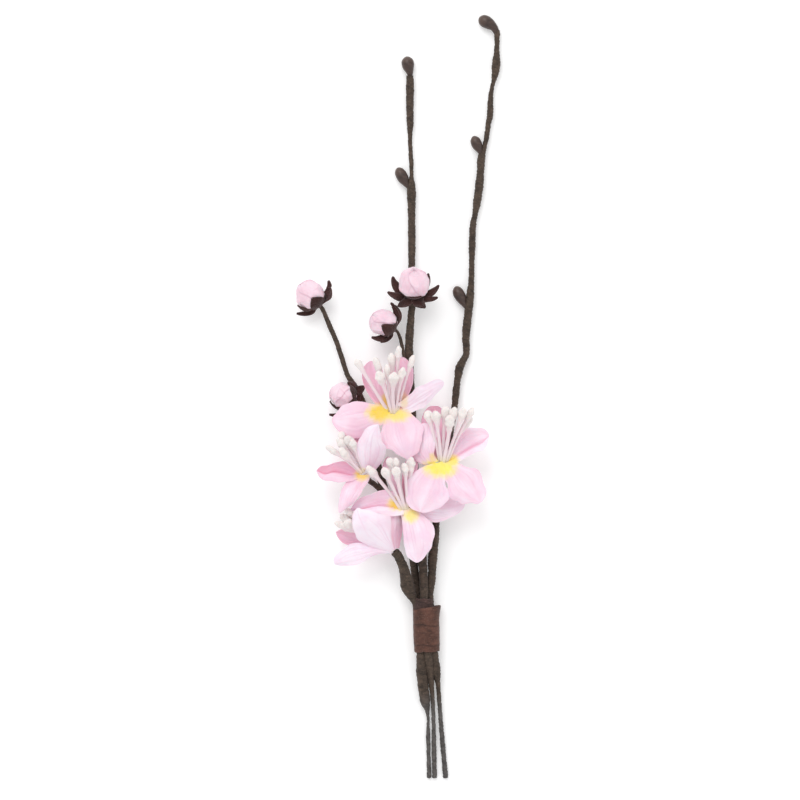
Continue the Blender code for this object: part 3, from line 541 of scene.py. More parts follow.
twigLooks = dict(
    left_twig=dict(
        seed=11, pitch=3.8, lap=0.13, lumps=0.08, ends=(0.12, 0.4),
        rows=[(3.3, 108.6, 2.2, 1.2), (3.35, 105.5, 2.2, 1.25), (3.3, 98.0, 2.1, 1.25),
              (3.4, 91.5, 2.1, 1.05), (3.35, 88.5, 2.05, 0.8), (3.45, 84.5, 2.0, 0.72), (3.8, 78.5, 2.0, 0.7),
              (3.85, 74.2, 2.0, 0.8), (3.8, 72.4, 2.1, 1.25), (3.85, 66.0, 2.2, 1.3), (3.9, 59.5, 2.3, 1.3),
              (3.95, 53.0, 2.4, 1.25), (3.9, 44.7, 2.5, 1.1), (3.8, 34.0, 2.6, 0.95), (3.6, 26.3, 2.6, 0.95),
              (3.2, 19.0, 2.6, 0.95), (3.3, 13.3, 2.7, 0.95), (3.9, 3.7, 2.9, 1.05), (4.3, -5.0, 3.2, 1.1),
              (4.8, -16.7, 3.7, 1.15), (5.4, -30.0, 4.2, 1.15), (6.4, -41.7, 4.5, 1.2),
              (7.5, -54.0, 4.6, 1.5), (7.95, -61.0, 4.6, 1.4), (8.1, -65.7, 4.6, 1.3), (8.8, -70.0, 4.6, 1.2),
              (9.3, -84.0, 4.6, 1.4), (9.9, -90.0, 3.9, 1.35), (10.7, -97.5, 2.8, 0.75),
              (11.2, -107.0, 1.9, 0.68), (11.4, -118.0, 1.1, 0.75), (11.6, -126.6, 0.8, 0.8)]),
    right_twig=dict(
        seed=23, pitch=3.3, lap=0.14, lumps=0.08, twist=0.06,
        rows=[(31.2, 124.7, 2.2, 0.9), (32.3, 122.9, 2.2, 0.95), (32.4, 120.5, 2.2, 0.85),
              (32.3, 116.0, 2.2, 0.95), (32.05, 111.4, 2.2, 1.35), (31.7, 108.5, 2.1, 1.1),
              (31.2, 106.3, 2.0, 0.75), (30.5, 103.0, 2.0, 0.78), (30.2, 99.2, 2.0, 0.92),
              (30.1, 95.4, 2.0, 1.05), (29.4, 91.5, 2.0, 0.9), (29.0, 88.3, 2.0, 0.85),
              (28.2, 84.6, 2.0, 0.82), (27.4, 82.0, 2.0, 1.2), (26.85, 75.5, 2.0, 1.3),
              (26.3, 70.0, 2.0, 1.4), (25.7, 65.9, 2.0, 1.2), (25.2, 62.7, 2.0, 0.95), (24.4, 58.5, 2.0, 1.0),
              (24.15, 53.1, 2.0, 1.15), (24.0, 47.3, 2.0, 0.95), (23.8, 39.3, 2.0, 1.05),
              (22.9, 30.0, 2.1, 1.45), (22.0, 20.7, 2.2, 1.25), (22.0, 15.0, 2.3, 1.15),
              (20.1, 11.3, 2.4, 1.3), (19.2, 6.7, 2.5, 1.15), (18.2, -2.3, 2.6, 1.05),
              (16.7, -11.7, 2.8, 1.05), (15.0, -21.7, 3.0, 1.05), (13.3, -31.7, 3.2, 1.1),
              (12.0, -41.7, 3.4, 1.2), (11.5, -47.7, 3.6, 1.4), (10.85, -53.3, 3.7, 1.45),
              (10.6, -60.0, 3.7, 1.2), (10.2, -65.5, 3.75, 1.0), (10.5, -70.0, 3.75, 1.0),
              (11.2, -84.0, 3.75, 1.45), (11.9, -89.5, 3.2, 1.45), (12.7, -95.0, 2.5, 0.85),
              (13.1, -100.3, 2.0, 0.7), (13.9, -110.7, 1.3, 0.75), (15.3, -126.6, 0.9, 0.85)]),
    bud_branch=dict(
        seed=31, pitch=4.2, lap=0.08, lumps=0.05,
        rows=[(-27.1, 32.2, 4.5, 0.8), (-26.3, 31.0, 4.1, 0.7), (-23.3, 24.3, 3.9, 0.8),
              (-21.3, 19.7, 3.8, 0.83), (-19.3, 13.7, 3.4, 0.83), (-17.2, 7.7, 2.9, 0.85),
              (-15.6, 5.3, 2.7, 1.05), (-14.2, 3.0, 2.6, 1.15), (-12.0, -1.7, 2.8, 1.0),
              (-10.3, -8.3, 3.2, 1.05), (-9.0, -15.0, 3.5, 1.1), (-7.3, -22.7, 3.7, 1.3),
              (-5.8, -28.0, 3.8, 1.45), (-4.3, -32.5, 3.7, 1.3), (-1.5, -36.8, 3.5, 1.2),
              (1.6, -40.5, 3.3, 1.15), (3.4, -45.0, 3.0, 1.15), (4.1, -50.0, 2.7, 1.2),
              (4.75, -56.0, 2.2, 1.3), (5.6, -61.5, 2.0, 1.15), (6.4, -66.0, 1.9, 0.95),
              (7.55, -70.0, 1.75, 0.75), (7.75, -81.0, 1.75, 0.75)]),
    upper_bud_stem=dict(
        seed=41, pitch=4.0, lap=0.12, lumps=0.06,
        rows=[(4.4, 33.5, 6.5, 1.1), (3.9, 30.0, 6.0, 1.1), (3.5, 25.3, 5.5, 1.2), (3.0, 17.0, 5.0, 1.35),
              (3.3, 11.7, 4.9, 1.2), (3.9, 5.0, 4.8, 0.95), (4.3, -2.0, 4.9, 0.7), (4.5, -7.0, 4.9, 0.45)]),
    lower_bud_stem=dict(
        seed=43, pitch=2.6, lap=0.05, lumps=0.04,
        rows=[(-2.0, 23.6, 7.5, 0.6), (-0.9, 22.7, 7.2, 0.5), (-0.2, 21.3, 7.0, 0.55), (0.45, 19.0, 6.6, 0.6),
              (1.2, 15.2, 5.8, 0.6), (1.8, 12.0, 5.4, 0.5)]),
    top_flower_stem=dict(
        seed=51, pitch=3.2, lap=0.07, lumps=0.05,
        rows=[(-2.95, -4.85, 11.5, 1.8), (-2.85, -6.4, 10.6, 1.2), (-2.4, -9.0, 8.8, 0.85),
              (0.4, -13.6, 7.0, 0.8), (3.6, -19.0, 6.0, 0.8), (5.2, -27.0, 5.8, 0.7)]),
    right_flower_stem=dict(
        seed=53, pitch=3.2, lap=0.07, lumps=0.05,
        rows=[(13.65, -21.15, 12.5, 1.8), (13.55, -22.75, 11.6, 1.2), (13.5, -25.3, 9.6, 0.85),
              (13.6, -28.5, 7.2, 0.8), (13.4, -32.5, 5.6, 0.8), (13.1, -36.5, 5.4, 0.8),
              (12.3, -41.7, 5.4, 0.75), (11.7, -48.5, 5.5, 0.65)]),
    left_flower_stem=dict(
        seed=55, pitch=3.2, lap=0.07, lumps=0.05,
        rows=[(-11.9, -24.6, 9.4, 0.9), (-11.1, -25.7, 9.1, 0.9), (-10.2, -26.8, 8.8, 0.9),
              (-8.6, -28.0, 7.3, 0.9), (-5.2, -31.5, 6.0, 0.8), (-2.4, -36.0, 5.2, 0.6)]),
    middle_flower_stem=dict(
        seed=57, pitch=3.4, lap=0.08, lumps=0.06,
        rows=[(1.95, -36.85, 11.0, 1.5), (2.4, -38.4, 10.6, 1.2), (2.9, -40.6, 9.0, 0.85),
              (3.6, -44.0, 6.2, 0.8), (4.5, -47.5, 4.8, 0.85), (6.0, -51.5, 2.7, 0.85),
              (7.4, -57.0, 2.0, 0.95), (8.0, -62.0, 1.9, 1.0), (8.6, -66.5, 2.0, 1.0),
              (9.75, -70.0, 1.9, 0.8), (9.95, -81.0, 1.9, 0.75)]),
    low_flower_stem=dict(
        seed=59, pitch=4.4, lap=0.16, lumps=0.06,
        rows=[(-2.1, -50.1, 9.3, 1.35), (-0.7, -51.7, 8.9, 1.45), (0.65, -54.5, 7.8, 1.5),
              (1.5, -57.0, 7.0, 1.75), (2.15, -60.0, 6.1, 2.05), (2.5, -62.2, 5.5, 2.2),
              (3.1, -63.9, 5.0, 1.9), (4.3, -66.1, 4.4, 1.4), (5.2, -67.9, 4.1, 1.15), (6.5, -70.0, 3.8, 1.2),
              (7.0, -84.0, 3.7, 1.5), (7.3, -90.0, 3.4, 1.9), (7.8, -96.0, 2.9, 1.75),
              (8.5, -101.0, 2.3, 1.55), (9.15, -104.0, 1.6, 0.72), (9.4, -113.0, 1.2, 0.7),
              (9.6, -120.7, 0.9, 0.65), (9.8, -126.6, 0.75, 0.75)]))

for node, look in twigLooks.items():
    newPiece(pieceName(node), [wrappedStem(**look)], stemTape, "stem_tape", node)
print("wrapped stems:", len(twigLooks))


# open flowers
def throughPoints(points, share, ends=None):
    # a smooth curve through the points, read off at the given shares of its length; with ends given, the
    # slopes come from a longer list of points that this curve is the part ends[0] to ends[1] of
    points = np.asarray(points, float)
    length = chordLength(points)
    first, last = ends or (0, len(points))
    slope = np.gradient(points, length, axis=0)[first:last]
    length = length[first:last] - length[first]
    return hermite(points[first:last], length, np.asarray(share) * length[-1], slope)


def sprayed(flat, spots, seed):
    # airbrushed yellow: each spot is an ellipse (x, y, half width, half height, strength, gold) that fades
    # from half way out; gives the strongest of them and their mean gold
    ragged = 0.13 * ripple(seed, flat[..., 0] * 0.9, flat[..., 1] * 0.9, 0.8, 3.5)
    spray, gold, total = 0, 0, 1e-6
    for x, y, wide, high, strength, deep in spots:
        away = np.hypot((flat[..., 0] - x) / wide, (flat[..., 1] - y) / high) + ragged
        spot = strength * (1 - ramp(away, 0.45, 1.45))
        spray, gold, total = np.maximum(spray, spot), gold + spot * deep, total + spot
    return spray + 0 * ragged, gold / total + 0 * ragged


def petalBody(left, spine, right, tip, rise, dome=1.0, lean=0.0, blush=0.2, spots=(), hem=None, seam=None,
              frill=0.26, wave=0.42, vein=0.06, crease=0.08, thick=0.22, seed=1, rows=76, cols=57):
    # Three curves run from the foot to the tip: both rims and the spine. At each share u of their length the
    # sheet across is the parabola through them, v = -1, 0 and 1. Its height is the spine's rise, less the
    # dome times v squared, plus the lean times v, both in step with the width. Waves grow to the rims, veins
    # are ripples in v so that their lines meet at the foot and the tip, creases are narrow dents, and a hem
    # turns one rim up. A seam brings the start of one rim to the given heights, where this petal is joined to
    # its neighbour. The left, spine, right and tip are (x, y); a side is 1 for the right rim and -1 for the
    # left one.
    u = (1 - (1 - np.linspace(0, 1, rows)) ** 1.7) * 0.998
    outline = list(left) + [tip] + list(right)[::-1]
    rimLeft = throughPoints(outline, u, (0, len(left) + 1))
    rimRight = throughPoints(outline[::-1], u, (0, len(right) + 1))
    back = throughPoints(list(spine) + [tip], u)
    u, v = u[:, None], np.linspace(-1, 1, cols)[None]
    joined = np.zeros_like(u)
    if seam is not None:
        side, heights = seam
        knots = chordLength(np.array([*(right if side > 0 else left), tip]))
        place, shared = u * knots[-1], knots[len(heights) - 1]
        joined = 1 - ramp(place, shared, shared + 2.5)
        seamHeight = np.polyval(np.polyfit(knots[:len(heights)], heights, 3), np.clip(place, 0, shared))
    width = np.linalg.norm(rimRight - rimLeft, axis=-1)[:, None]
    notFoot = ramp(u, 0.22, 0.5) * (1 - ramp(u, 0.95, 1.0))
    for rim, side in ((rimLeft, -1), (rimRight, 1)):
        held = 1 - joined if seam is not None and seam[0] == side else 1
        uneven = ripple(seed + 6 + side, u * width.max() * 0.9, 0, 0.8, 2.6)
        rim += unitOf(rim - back) * frill * held * notFoot * uneven
    flat = (back[:, None] * (1 - v**2)[..., None] + rimLeft[:, None] * ((v**2 - v) / 2)[..., None]
            + rimRight[:, None] * ((v**2 + v) / 2)[..., None])
    width = width / width.max()
    height = throughPoints(np.stack([np.linspace(0, 12, len(rise)), rise], 1), u[:, 0])[:, 1:2]
    height = height - dome * v**2 * width + lean * v * width
    rolling = ripple(seed + 1, u * 5.5, v * 1.6, 0.7, 2.0)
    height = height + wave * rolling * (0.25 + v**2) * width * ramp(u, 0.1, 0.6)
    height = height + vein * ripple(seed + 2, v * 10.0, u * 1.0, 0.8, 2.6) * width * ramp(u, 0.0, 0.25)
    height = height + 0.05 * ripple(seed + 8, u * 13, v * 5, 0.8, 2.4) * width
    # pressed creases: narrow dents, and in the paint painted shade along them (the line mark)
    dice, lines = np.random.default_rng(seed), 5
    places, reach = dice.uniform(-0.75, 0.75, lines), dice.uniform(0.45, 0.95, lines)
    bend = dice.uniform(-0.12, 0.12, lines)
    line = sum(np.exp(-((v - p - b * np.sin(3 * u)) / 0.04) ** 2) * ramp(far - u, -0.05, 0.3)
               for p, far, b in zip(places, reach, bend))
    height = height - crease * line * width * ramp(u, 0.05, 0.3)
    # rosier towards the foot and the rims, with random patches; the blush is partly the paper's own pink and
    # partly painted shade
    flushAndShade = blush + 0.16 * (1 - u) ** 2 + 0.06 * np.abs(v) ** 6 + 0.12 * ripple(seed + 4, v * 2.2, u * 2.6)
    if hem is not None:
        side, start, lift, change = hem
        way = np.clip((side * v - start) / (1 - start), 0, 1)
        height = height + (lift * way ** 1.4 - 0.5 * np.exp(-((side * v - start) / 0.12) ** 2)) * width
        # the turned-up hem turns paler, and just inside it a rosier line is painted shade in the fold
        flushAndShade = flushAndShade + change * ramp(side * v, start - 0.02, start + 0.10)
        flushAndShade = flushAndShade - change * 0.9 * np.exp(-((side * v - start + 0.10) / 0.16) ** 2)
    if seam is not None:
        side = seam[0]
        rimHeight = height[:, -1:] if side > 0 else height[:, :1]
        height = height + (seamHeight - rimHeight) * joined * np.clip(side * v, 0, 1) ** 1.5
        flushAndShade = flushAndShade - 0.12 * np.abs(v) ** 6 * joined * (side * v > 0)
    surface = np.concatenate([flat, height[..., None]], -1)
    spray, gold = sprayed(flat, spots, seed + 3)
    uv = stacked(v * 0.5 + 0.5 + seed * 0.37, u)
    return sheetBody(surface, thick, uv, splash=spray, blush=np.clip(flushAndShade, 0, 1),
                     line=np.clip(line, 0, 1) * (0.4 + 0.6 * width), gold=gold)


def stamenBody(centre, axis, head, seed, thread=0.60, headRadius=1.36, headLength=7.0, foot=0.17):
    # A circle carried along a quadratic curve from the flower's middle to the head. Its radius is the
    # thread's, swells by an S-shaped ramp to the head's, and closes by a root curve at the tip; ripples
    # flatten and lump it.
    dice = np.random.default_rng(seed)
    a, c, h = unitOf(axis), np.array(centre, float), np.array(head, float)
    spread = h - c - ((h - c) @ a) * a
    start = c + spread * foot - a * 0.3
    toHead = unitOf(h - start)
    length, size = headLength * dice.uniform(0.85, 1.15), headRadius * dice.uniform(0.82, 1.10)
    end = h + toHead * length * 0.30
    bow = (start + end) / 2 + a * np.linalg.norm(end - start) * 0.08 + dice.uniform(-1.0, 1.0, 3)
    nearHead = 1 - 0.5 * (1 - np.linspace(0, 1, 34)) ** 1.5
    t = np.concatenate([np.linspace(0, 0.5, 16, endpoint=False), nearHead])[:, None]
    line = (1 - t) ** 2 * start + 2 * t * (1 - t) * bow + t ** 2 * end
    at = chordLength(line)
    x = np.clip((at - (at[-1] - length)) / length, 0, 1)
    swell = thread + (size - thread) * ramp(x, 0.0, 0.72) ** 1.1
    close = np.sqrt(np.clip(1 - np.clip((x - 0.52) / 0.48, 0, 1) ** 2.6, 0.004, 1))
    thin = 1 - 0.18 * np.sin(np.pi * np.clip(at / (at[-1] - length * 0.6), 0, 1))
    radius = (swell * close * thin)[:, None]
    along, above, aside = ringFrame(line)
    sides = 18
    angle = np.linspace(0, 2 * np.pi, sides, endpoint=False)
    lumpy = 1 + 0.16 * ripple(seed, np.cos(angle) * 1.3, at[:, None] * 0.9) * ramp(x, 0.05, 0.4)[:, None]
    squash = 1 + 0.15 * np.cos(2 * (angle - dice.uniform(0, 3))) * np.ones_like(radius)
    fluted = 1 + 0.07 * ripple(seed + 1, np.sin(angle) * 2, at[:, None] * 0.7)
    rings, poles = ringsRound(line, along, above, aside, radius * lumpy * squash * fluted, angle)
    uv = stacked(np.linspace(0, 1, sides + 1) + seed * 0.31, at[:, None] * 0.2)
    headMark = ramp(x, 0.1, 0.7)[:, None] + 0 * angle
    yellowed = 3.2
    footMark = ramp(yellowed - at, 0, yellowed)[:, None] + 0 * angle
    return tubeBody(rings, poles, uv, head=headMark, foot=footMark)


def plugBody(centre, axis, seed, radius=1.2, height=0.8, depth=2.4, rows=10, sides=20):
    # the wound foot of the stamens: a circle carried up the axis from its depth below the centre, its radius
    # falling by a quarter of a circle
    a = unitOf(axis)
    aside = unitOf(np.cross(a, (0, 0, 1.0)))
    above = np.cross(aside, a)
    x = np.linspace(0, 1, rows)[:, None]
    angle = np.linspace(0, 2 * np.pi, sides, endpoint=False)
    lumpy = 1 + 0.08 * ripple(seed, np.cos(angle) * 2, np.sin(angle) * 2)
    reach = radius * np.sqrt(np.clip(1 - x ** 2, 0.01, 1)) * lumpy
    up = np.array(centre, float) + a * (x * height - depth)
    rings = up[:, None] + reach[..., None] * (np.cos(angle)[:, None] * above + np.sin(angle)[:, None] * aside)
    uv = stacked(np.linspace(0, 1, sides + 1), x)
    mark = np.zeros((rows, sides))
    return tubeBody(rings, [up[0] - a * 0.05, up[-1] + a * 0.05], uv, head=mark, foot=mark + 0.4)


# each petal's blush is partly the paper's pink and partly painted light and shade: high on the back and cupped
# petals that stand in shade, at or below zero on the brightest front ones
topFlower = dict(
    root=(-2.0, -4.1, 12.3), axis=(-0.06, 0.86, 0.5),
    spots=[(-6.4, -4.2, 4.4, 3.1, 1.0, 0.62), (-3.4, -3.6, 2.6, 1.9, 1.0, 0.6),
           (-1.0, -5.0, 4.2, 2.2, 0.85, 0.4), (-4.7, -0.7, 1.8, 2.6, 0.8, 0.9),
           (1.3, 0.0, 1.3, 3.0, 0.4, 0.9)],
    petals=dict(
        front=dict(
            left=[(-5.0, -3.9), (-5.6, -8.0), (-6.3, -11.0), (-6.2, -13.7), (-4.7, -15.8), (-2.3, -16.7),
                  (-0.3, -18.5)],
            spine=[(-1.9, -3.7), (-1.0, -9.0), (0.3, -14.0), (2.3, -19.0)],
            right=[(1.8, -2.3), (3.8, -4.6), (6.0, -6.7), (7.7, -9.0), (7.5, -12.0), (6.8, -15.0),
                   (5.5, -17.7)],
            tip=(2.5, -19.7), rise=(12.4, 14.4, 15.4, 14.2), dome=0.9, lean=0.0, blush=0.36),
        left=dict(
            left=[(-3.0, -6.7), (-5.0, -7.8), (-8.0, -9.0), (-10.7, -10.7), (-13.3, -12.7), (-16.3, -12.2),
                  (-19.0, -11.0), (-21.3, -9.3)],
            spine=[(-4.0, -4.3), (-8.3, -4.7), (-13.3, -5.7), (-18.3, -6.2)],
            right=[(-3.3, -1.7), (-6.3, -1.6), (-10.0, -1.2), (-13.0, -0.5), (-16.0, -0.7), (-18.7, -1.8),
                   (-20.7, -3.7)],
            tip=(-22.5, -6.5), rise=(12.4, 14.2, 15.0, 13.2), dome=1.0, lean=-0.5, blush=0.34),
        right=dict(
            left=[(-2.0, -2.0), (1.5, 0.4), (3.7, 2.3), (5.3, 3.8), (7.7, 5.0), (10.0, 6.0), (12.0, 6.8),
                  (13.4, 6.9)],
            spine=[(1.0, -2.7), (3.7, -1.0), (6.7, 1.2), (10.3, 3.3)],
            right=[(-2.0, -5.6), (2.7, -4.6), (6.0, -3.2), (8.0, -2.3), (9.3, -0.8), (11.2, 0.9), (13.3, 3.0),
                   (14.4, 4.6)],
            tip=(14.4, 6.0), rise=(12.8, 14.6, 16.2, 17.0), dome=0.5, lean=-1.6, blush=0.0),
        back_left=dict(
            left=[(-4.7, -4.0), (-7.7, -1.7), (-10.0, 1.3), (-11.7, 4.7), (-12.4, 8.0), (-12.0, 10.7)],
            spine=[(-4.0, -3.3), (-6.3, 1.0), (-8.0, 5.7), (-9.0, 9.7)],
            right=[(-3.0, -3.0), (-3.8, 1.0), (-4.8, 5.3), (-5.7, 9.0), (-7.0, 11.7)],
            tip=(-9.5, 13.0), rise=(11.6, 10.8, 10.0, 9.4), dome=-1.3, lean=-1.0, blush=0.58),
        back_right=dict(
            left=[(-2.3, -3.0), (-3.0, 1.7), (-3.5, 6.7), (-3.3, 10.7)],
            spine=[(-1.0, -3.0), (0.0, 2.7), (0.7, 8.3), (1.0, 12.7)],
            right=[(0.3, -3.3), (2.0, 0.0), (3.5, 3.7), (4.3, 7.7), (4.0, 11.3)],
            tip=(0.5, 14.2), rise=(11.6, 10.6, 9.6, 9.0), dome=-1.3, lean=1.2, blush=0.6)),
    heads=[(-13.7, 12.0, 17.0), (-7.7, 12.0, 17.5), (-6.8, 7.7, 19.6), (-4.0, 10.0, 18.2), (-2.8, 13.5, 16.0),
           (-1.8, 7.3, 20.4), (-0.5, 16.2, 17.5), (0.8, 9.0, 18.8), (4.0, 12.8, 17.0)])
rightFlower = dict(
    root=(14.2, -20.3, 13.3), axis=(0.05, 0.87, 0.48),
    spots=[(13.2, -22.4, 5.3, 3.1, 1.0, 0.2), (17.2, -20.2, 2.3, 2.1, 0.9, 0.5),
           (10.7, -19.3, 1.0, 1.8, 0.6, 0.8)],
    petals=dict(
        front_left=dict(
            left=[(11.0, -21.0), (8.0, -22.0), (5.0, -23.7), (3.0, -26.0), (2.2, -29.0), (2.0, -32.3),
                  (2.8, -35.0)],
            spine=[(12.4, -20.8), (11.0, -25.3), (9.2, -30.0), (7.7, -34.3)],
            right=[(14.0, -20.3), (15.0, -23.7), (14.9, -26.5), (15.0, -28.3), (15.8, -29.8), (16.3, -31.9),
                   (14.8, -34.4), (11.6, -36.2)],
            tip=(6.7, -37.1), rise=(13.6, 15.2, 15.8, 14.6), dome=0.9, lean=0.2, blush=0.28,
            seam=(1, (13.5, 14.3, 14.8, 14.9, 15.0, 15.1))),
        front_right=dict(
            left=[(14.0, -20.3), (15.0, -23.7), (14.9, -26.5), (15.75, -27.9), (15.8, -29.8), (16.3, -31.9),
                  (18.8, -33.6), (22.5, -34.2)],
            spine=[(15.3, -20.7), (18.3, -24.2), (21.0, -27.7), (23.7, -30.8)],
            right=[(17.3, -19.7), (19.7, -21.0), (22.3, -22.3), (25.0, -22.8), (26.7, -24.5), (27.6, -27.0),
                   (28.2, -29.7), (28.2, -32.0)],
            tip=(26.5, -34.0), rise=(13.6, 15.1, 15.5, 15.1), dome=0.9, lean=0.0, blush=0.27,
            seam=(-1, (13.5, 14.3, 14.8, 14.9, 15.0, 15.1))),
        left=dict(
            left=[(10.3, -21.7), (8.0, -21.5), (5.7, -20.3), (4.2, -18.0), (3.7, -15.3), (4.0, -12.3),
                  (5.0, -10.0)],
            spine=[(11.3, -21.0), (9.3, -18.3), (8.3, -15.0), (8.3, -11.3)],
            right=[(12.7, -20.3), (11.3, -18.3), (11.5, -15.7), (11.9, -12.7), (12.1, -10.3), (11.3, -8.5)],
            tip=(8.5, -7.7), rise=(13.2, 14.0, 14.2, 14.0), dome=0.5, lean=2.0, blush=0.26),
        back=dict(
            left=[(12.0, -20.3), (10.0, -15.0), (8.0, -10.7), (7.2, -7.0), (8.0, -4.0)],
            spine=[(13.3, -20.0), (12.7, -14.0), (12.0, -8.3), (11.5, -4.3)],
            right=[(15.0, -20.0), (16.0, -15.7), (16.8, -11.7), (17.2, -8.0), (16.3, -4.7)],
            tip=(11.5, -2.0), rise=(12.4, 10.6, 8.6, 7.0), dome=-1.5, lean=0.0, blush=0.78),
        right=dict(
            left=[(13.7, -18.6), (17.0, -15.9), (19.0, -12.7), (20.3, -10.5), (22.3, -9.4), (24.7, -9.2),
                  (27.3, -9.5)],
            spine=[(16.3, -19.7), (19.3, -16.3), (22.7, -13.7), (26.0, -12.3)],
            right=[(14.3, -21.2), (18.6, -20.7), (20.7, -19.5), (22.7, -18.2), (25.0, -17.3), (27.3, -16.6),
                   (29.0, -14.3)],
            tip=(29.6, -12.0), rise=(12.8, 11.6, 11.0, 10.4), dome=-0.9, lean=0.8, blush=0.3,
            hem=(1, 0.6, 1.3, -0.45))),
    heads=[(9.3, -5.2, 17.0), (11.8, -5.3, 19.6), (15.0, -3.8, 18.0), (16.2, -7.0, 20.6), (17.8, -4.3, 18.4),
           (20.5, -4.5, 19.6), (23.3, -4.2, 17.8), (22.7, -7.6, 15.2)])
leftFlower = dict(
    root=(-12.5, -23.6, 12.2), axis=(-0.45, 0.75, 0.5), spots=[(-12.6, -24.7, 2.3, 2.0, 0.85, 0.8)],
    petals=dict(
        upper_right=dict(
            left=[(-12.3, -23.0), (-13.3, -20.0), (-14.3, -17.3), (-14.0, -14.5), (-12.7, -11.5),
                  (-10.7, -9.2)],
            spine=[(-10.7, -23.0), (-10.2, -18.7), (-9.7, -14.3), (-8.7, -10.3)],
            right=[(-8.0, -23.0), (-6.2, -20.7), (-4.9, -18.0), (-4.7, -15.7), (-5.8, -13.7), (-6.2, -11.0)],
            tip=(-7.3, -8.0), rise=(13.0, 16.6, 19.6, 20.6), dome=1.2, lean=-1.7, blush=0.04),
        lower=dict(
            left=[(-14.7, -24.3), (-16.7, -25.7), (-18.2, -28.0), (-19.3, -30.7), (-20.0, -33.3)],
            spine=[(-12.2, -24.9), (-14.6, -28.0), (-16.5, -31.0), (-17.8, -34.3)],
            right=[(-9.7, -24.7), (-10.5, -27.0), (-12.2, -29.3), (-13.0, -31.3), (-14.5, -33.3),
                   (-16.7, -35.3)],
            tip=(-19.8, -37.4), rise=(12.6, 14.4, 15.2, 14.2), dome=1.1, lean=0.7, blush=0.34),
        left=dict(
            left=[(-14.0, -26.2), (-16.0, -26.8), (-18.3, -27.0), (-20.7, -27.1), (-23.3, -26.8),
                  (-25.5, -26.2), (-27.0, -25.2)],
            spine=[(-13.3, -24.3), (-16.0, -24.1), (-19.0, -23.3), (-22.0, -23.1), (-24.7, -24.0)],
            right=[(-13.0, -22.7), (-15.0, -21.7), (-17.0, -20.8), (-19.3, -20.4), (-21.7, -20.9),
                   (-24.0, -21.7), (-26.3, -22.1)],
            tip=(-27.7, -23.5), rise=(12.0, 11.2, 10.6, 10.0), dome=-1.6, lean=0.6, blush=0.85,
            hem=(-1, 0.28, 1.6, -0.55)),
        back_left=dict(
            left=[(-14.3, -22.7), (-16.7, -19.0), (-18.3, -16.0), (-19.3, -13.3)],
            spine=[(-13.3, -22.3), (-15.3, -17.7), (-17.0, -14.0), (-17.7, -12.0)],
            right=[(-12.3, -22.0), (-13.7, -18.7), (-15.0, -15.3), (-16.0, -12.7)],
            tip=(-18.0, -10.7), rise=(11.6, 9.6, 7.6, 6.5), dome=-0.8, lean=-0.8, blush=0.7),
        back_right=dict(
            left=[(-13.0, -22.7), (-14.3, -18.7), (-15.3, -15.7), (-15.7, -13.0)],
            spine=[(-12.3, -22.7), (-13.3, -18.7), (-14.0, -15.3), (-14.3, -13.0)],
            right=[(-11.3, -22.7), (-11.3, -19.0), (-12.0, -15.7), (-12.7, -13.3)],
            tip=(-14.3, -11.3), rise=(11.6, 10.0, 8.2, 6.8), dome=-0.8, lean=0.6, blush=0.85)),
    heads=[(-22.8, -16.5, 16.0), (-19.8, -14.2, 15.8), (-18.5, -17.3, 18.5), (-19.0, -12.2, 14.5),
           (-16.7, -13.7, 16.6), (-15.2, -14.5, 18.8)])
